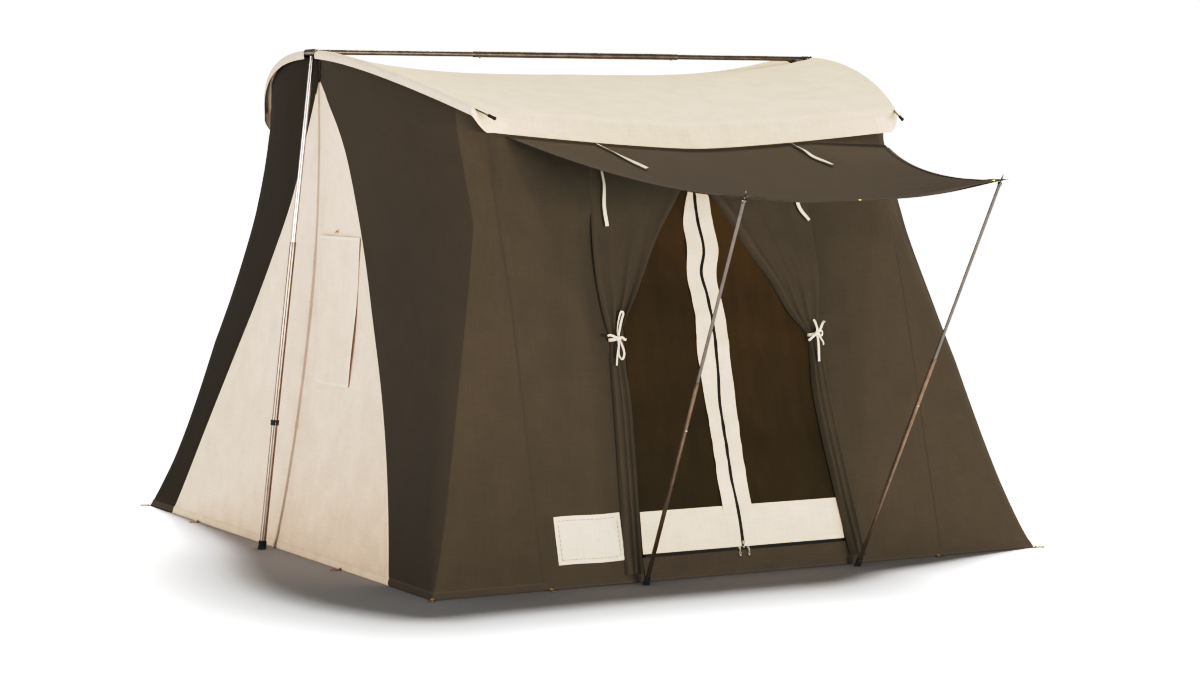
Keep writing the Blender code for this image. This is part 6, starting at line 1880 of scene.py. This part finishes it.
for tag, side in (("left", -1), ("right", 1)):
    pin = np.array((side * T_X, 0, RIDGE_Z - PIN_DROP))
    foot = np.array((side * FOOT_X, 0, 0.0))
    down = unit(foot - pin)
    per_z = 1 / -down[2]
    joint = pin + down * ((pin[2] - UP_JOINT_Z) * per_z)
    end = foot - down * 0.012
    top = pin - down * 0.0155
    run = float(np.linalg.norm(joint - top)) + 0.26
    bag = Bag()
    shells(bag, top, down, (0, 1, 0), UP_UPPER_R, 0.0015, 0.0033, 0.0316)
    rest_ = top + down * 0.0312
    r = UP_UPPER_R
    run2 = run - 0.0312
    bag.lathe(rest_, down, [(0, 0.004), (r - 0.0015, 0.004), (r - 0.0015, 0.0), (r, 0.0)]
              + [(r, s) for s in np.linspace(0.02, run2 - 0.004, 9)]
              + [(r - 0.0003, run2), (r - 0.0015, run2), (r - 0.0015, run2 - 0.02), (0, run2 - 0.02)], 28)
    rivet(bag, pin, (0, 1, 0), 0.0125, 0.0030)
    bag.make("upright_tube_upper_" + tag, MAT_CHROME, tag + "_upright", "steel_tube", ("upright_%s_upper" % tag,))
    r, wall = UP_LOWER_R, 0.0015
    run = float(np.linalg.norm(end - joint))
    bag = Bag()
    bag.lathe(joint, down, [(r - wall, 0.06), (r - wall, 0.0006), (r - wall * 0.5, 0.0), (r + 0.0002, 0.0005), (r + 0.0003, 0.0030),
                            (r, 0.0042)] + [(r, s) for s in np.linspace(0.03, run - 0.01, 10)]
              + [(r, run), (0, run)], 28)
    bag.make("upright_tube_lower_" + tag, MAT_ZINC, tag + "_upright_lower", "steel_tube", ("upright_%s_lower" % tag,))
    # locking collar: two moulded rings round a band, the ear with its spring clip
    mid = pin + down * ((pin[2] - UP_COLLAR_Z) * per_z)
    bore = UP_LOWER_R + 0.0004
    bag = Bag()
    bag.lathe(mid - down * 0.011, down,
              [(bore, 0.0006), (0.0160, 0.0), (0.0172, 0.0008), (0.0180, 0.0035), (0.0180, 0.0060), (0.0171, 0.0070),
               (0.0171, 0.0150), (0.0180, 0.0160), (0.0180, 0.0185), (0.0172, 0.0212), (0.0160, 0.0220), (bore, 0.0214)],
              30, closed=True)
    ax = unit(np.cross(down, (0, 1.0, 0)))
    bag.block(mid + np.array((0, -0.0205, 0)), (ax, (0, 1.0, 0), down), (0.008, 0.013, 0.011), bevel=0.2)
    bag.make("upright_collar_" + tag, MAT_PLASTIC, tag + "_upright_lower", "black_plastic", ("upright_%s_collar" % tag,))
    bag = Bag()
    clip = []
    for k in range(30):       # bent spring wire through the ear
        t = k / 29
        a = math.pi * 1.25 * t
        clip.append(mid + np.array((0, -0.0225, 0)) + ax * (0.0085 * math.cos(a)) + down * (0.0065 * math.sin(a) * 1.25)
                    + np.array((0, -0.0040 * math.sin(math.pi * t), 0)))
    bag.sweep(clip, 0.0011, n=10)
    rivet(bag, mid + np.array((0, -0.0205, 0)), ax, 0.0064, 0.0018)
    bag.make("upright_clip_" + tag, MAT_ZIPPULL, tag + "_upright_lower")
    rubber_foot("upright_foot_" + tag, foot, down, 0.0165, UP_LOWER_R + 0.0004, 0.034, 0.012,
                tag + "_upright_lower", "upright_%s_foot" % tag)

# awning poles: spiked upper tube, ball shoulder, wider lower tube with its spring button
for tag, side, top, foot in (
        ("left", -1, (-AWN_CORNER_X, AWN_CORNER_Y, AWN_CORNER_Z_L), (AWN_FOOT_X_L, AWN_FOOT_Y, 0.0)),
        ("right", 1, (AWN_CORNER_X, AWN_CORNER_Y, AWN_CORNER_Z_R), (AWN_FOOT_X_R, AWN_FOOT_Y, 0.0))):
    top, foot = np.array(top, float), np.array(foot, float)
    down = unit(foot - top)
    r, sh = AWN_UPPER_R, 0.0095
    ball = [(0.0078 + 0.0012 * math.sin(math.pi * k / 8), sh + 0.001 + 0.011 * k / 8) for k in range(9)]
    bag = Bag()
    bag.lathe(top, down, [(0, -0.024), (0.0009, -0.0236), (0.0022, -0.021), (0.0030, -0.014), (0.0030, sh), (0.0064, sh + 0.0002)]
              + ball + [(r + 0.0004, sh + 0.0132), (r, sh + 0.016)]
              + [(r, s) for s in np.linspace(0.05, 1.05, 12)] + [(r - 0.0004, 1.0748), (0, 1.075)], 28)
    bag.make("awning_tube_upper_" + tag, MAT_POLE_UP, tag + "_awning_pole", "steel_tube", ("awning_pole_%s_upper" % tag,))
    joint = top + down * 0.770
    end = foot - down * 0.020
    run = float(np.linalg.norm(end - joint))
    r = AWN_LOWER_R
    bag = Bag()
    bag.lathe(joint, down, [(r - 0.0011, 0.05), (r - 0.0011, 0.0005), (r - 0.0005, 0.0), (r + 0.0002, 0.0005), (r + 0.0002, 0.0024), (r, 0.0034)]
              + [(r, s) for s in np.linspace(0.03, run - 0.01, 10)] + [(r, run), (0, run)], 28)
    out_dir = unit(np.cross(down, (1.0, 0, 0)) * -1)
    out_dir = out_dir if out_dir[1] < 0 else -out_dir
    bp = joint + down * 0.205
    bag.lathe(bp + out_dir * (r - 0.0012), out_dir, [(0.0042, 0), (0.0042, 0.0015), (0.0033, 0.0018), (0.0031, 0.0036),
                                                    (0.0019, 0.0048), (0, 0.0052)], 18, mat=1)
    # the lower tube's brown tone is a painted reflection of the tent
    bag.make("awning_tube_lower_" + tag, [MAT_POLE, MAT_ZIPPULL], tag + "_awning_pole_lower", "steel_tube",
             ("awning_pole_%s_lower" % tag,))
    rubber_foot("awning_foot_" + tag, foot, down, 0.0125, AWN_LOWER_R + 0.0004, 0.034, 0.020,
                tag + "_awning_pole_lower", "awning_pole_%s_foot" % tag)

# wire stake rings, and the webbing tab that holds each to the hem
bag_w = Bag()
for name, at, away in RINGS:
    d = unit(np.array((away[0], away[1], 0.0)))
    s_ = np.array((-d[1], d[0], 0.0))
    start = np.array((at[0], at[1], 0.0)) + d * RING_GAP
    r = RING_WIDE / 2 - RING_WIRE
    half = RING_LONG / 2 - RING_WIDE / 2
    mid = start + d * (RING_LONG / 2)
    loop = []
    for k in range(14):
        a = -math.pi / 2 + math.pi * k / 13
        loop.append(mid + d * (half + r * math.cos(a)) + s_ * (r * math.sin(a)))
    for k in range(14):
        a = math.pi / 2 + math.pi * k / 13
        loop.append(mid + d * (-half + r * math.cos(a)) + s_ * (r * math.sin(a)))
    loop = [p + np.array((0, 0, RING_WIRE + 0.0002)) for p in loop]
    bag = Bag()
    bag.sweep(loop, RING_WIRE, n=12, closed=True)
    bag.make("stake_" + name, MAT_WIRE, "stake_" + name, "ring_wire", (name,))
    # webbing folded over the near bar of the ring and sewn under the hem
    inner = np.array((at[0], at[1], 0.0)) - d * 0.012
    fold = [inner + np.array((0, 0, 0.0076)), inner + d * 0.010 + np.array((0, 0, 0.0078)),
            start + d * 0.0005 + np.array((0, 0, 0.0062)), start + d * 0.0035 + np.array((0, 0, 0.0054)),
            start + d * 0.0058 + np.array((0, 0, 0.0034)), start + d * 0.0050 + np.array((0, 0, 0.0008)),
            start + d * 0.0020 + np.array((0, 0, 0.0003)), inner + d * 0.002 + np.array((0, 0, 0.0003))]
    pth = np.array([list(p) for p in smooth_path([tuple(p) for p in fold], 26)])
    tn = unit(np.gradient(pth, axis=0))
    acr = np.tile(s_, (len(pth), 1))
    bag_w.ribbon(pth, acr, unit(np.cross(acr, tn)), 0.0125, 0.0007)
bag_w.make("ring_webbing", MAT_WEBBING, "root")


# the awning and its poles are flagged out of the floor light's shadow
floor_block = bpy.data.collections.new("not_shading_the_floor")
for piece in [o for o in bpy.context.scene.objects if o.type == "MESH" and (
        o.name.startswith(("awning_", "hem_awning", "eyelets_awning", "tape_")))]:
    floor_block.objects.link(piece)
for entry in floor_block.collection_objects:
    entry.light_linking.link_state = "EXCLUDE"
floor_light.light_linking.blocker_collection = floor_block
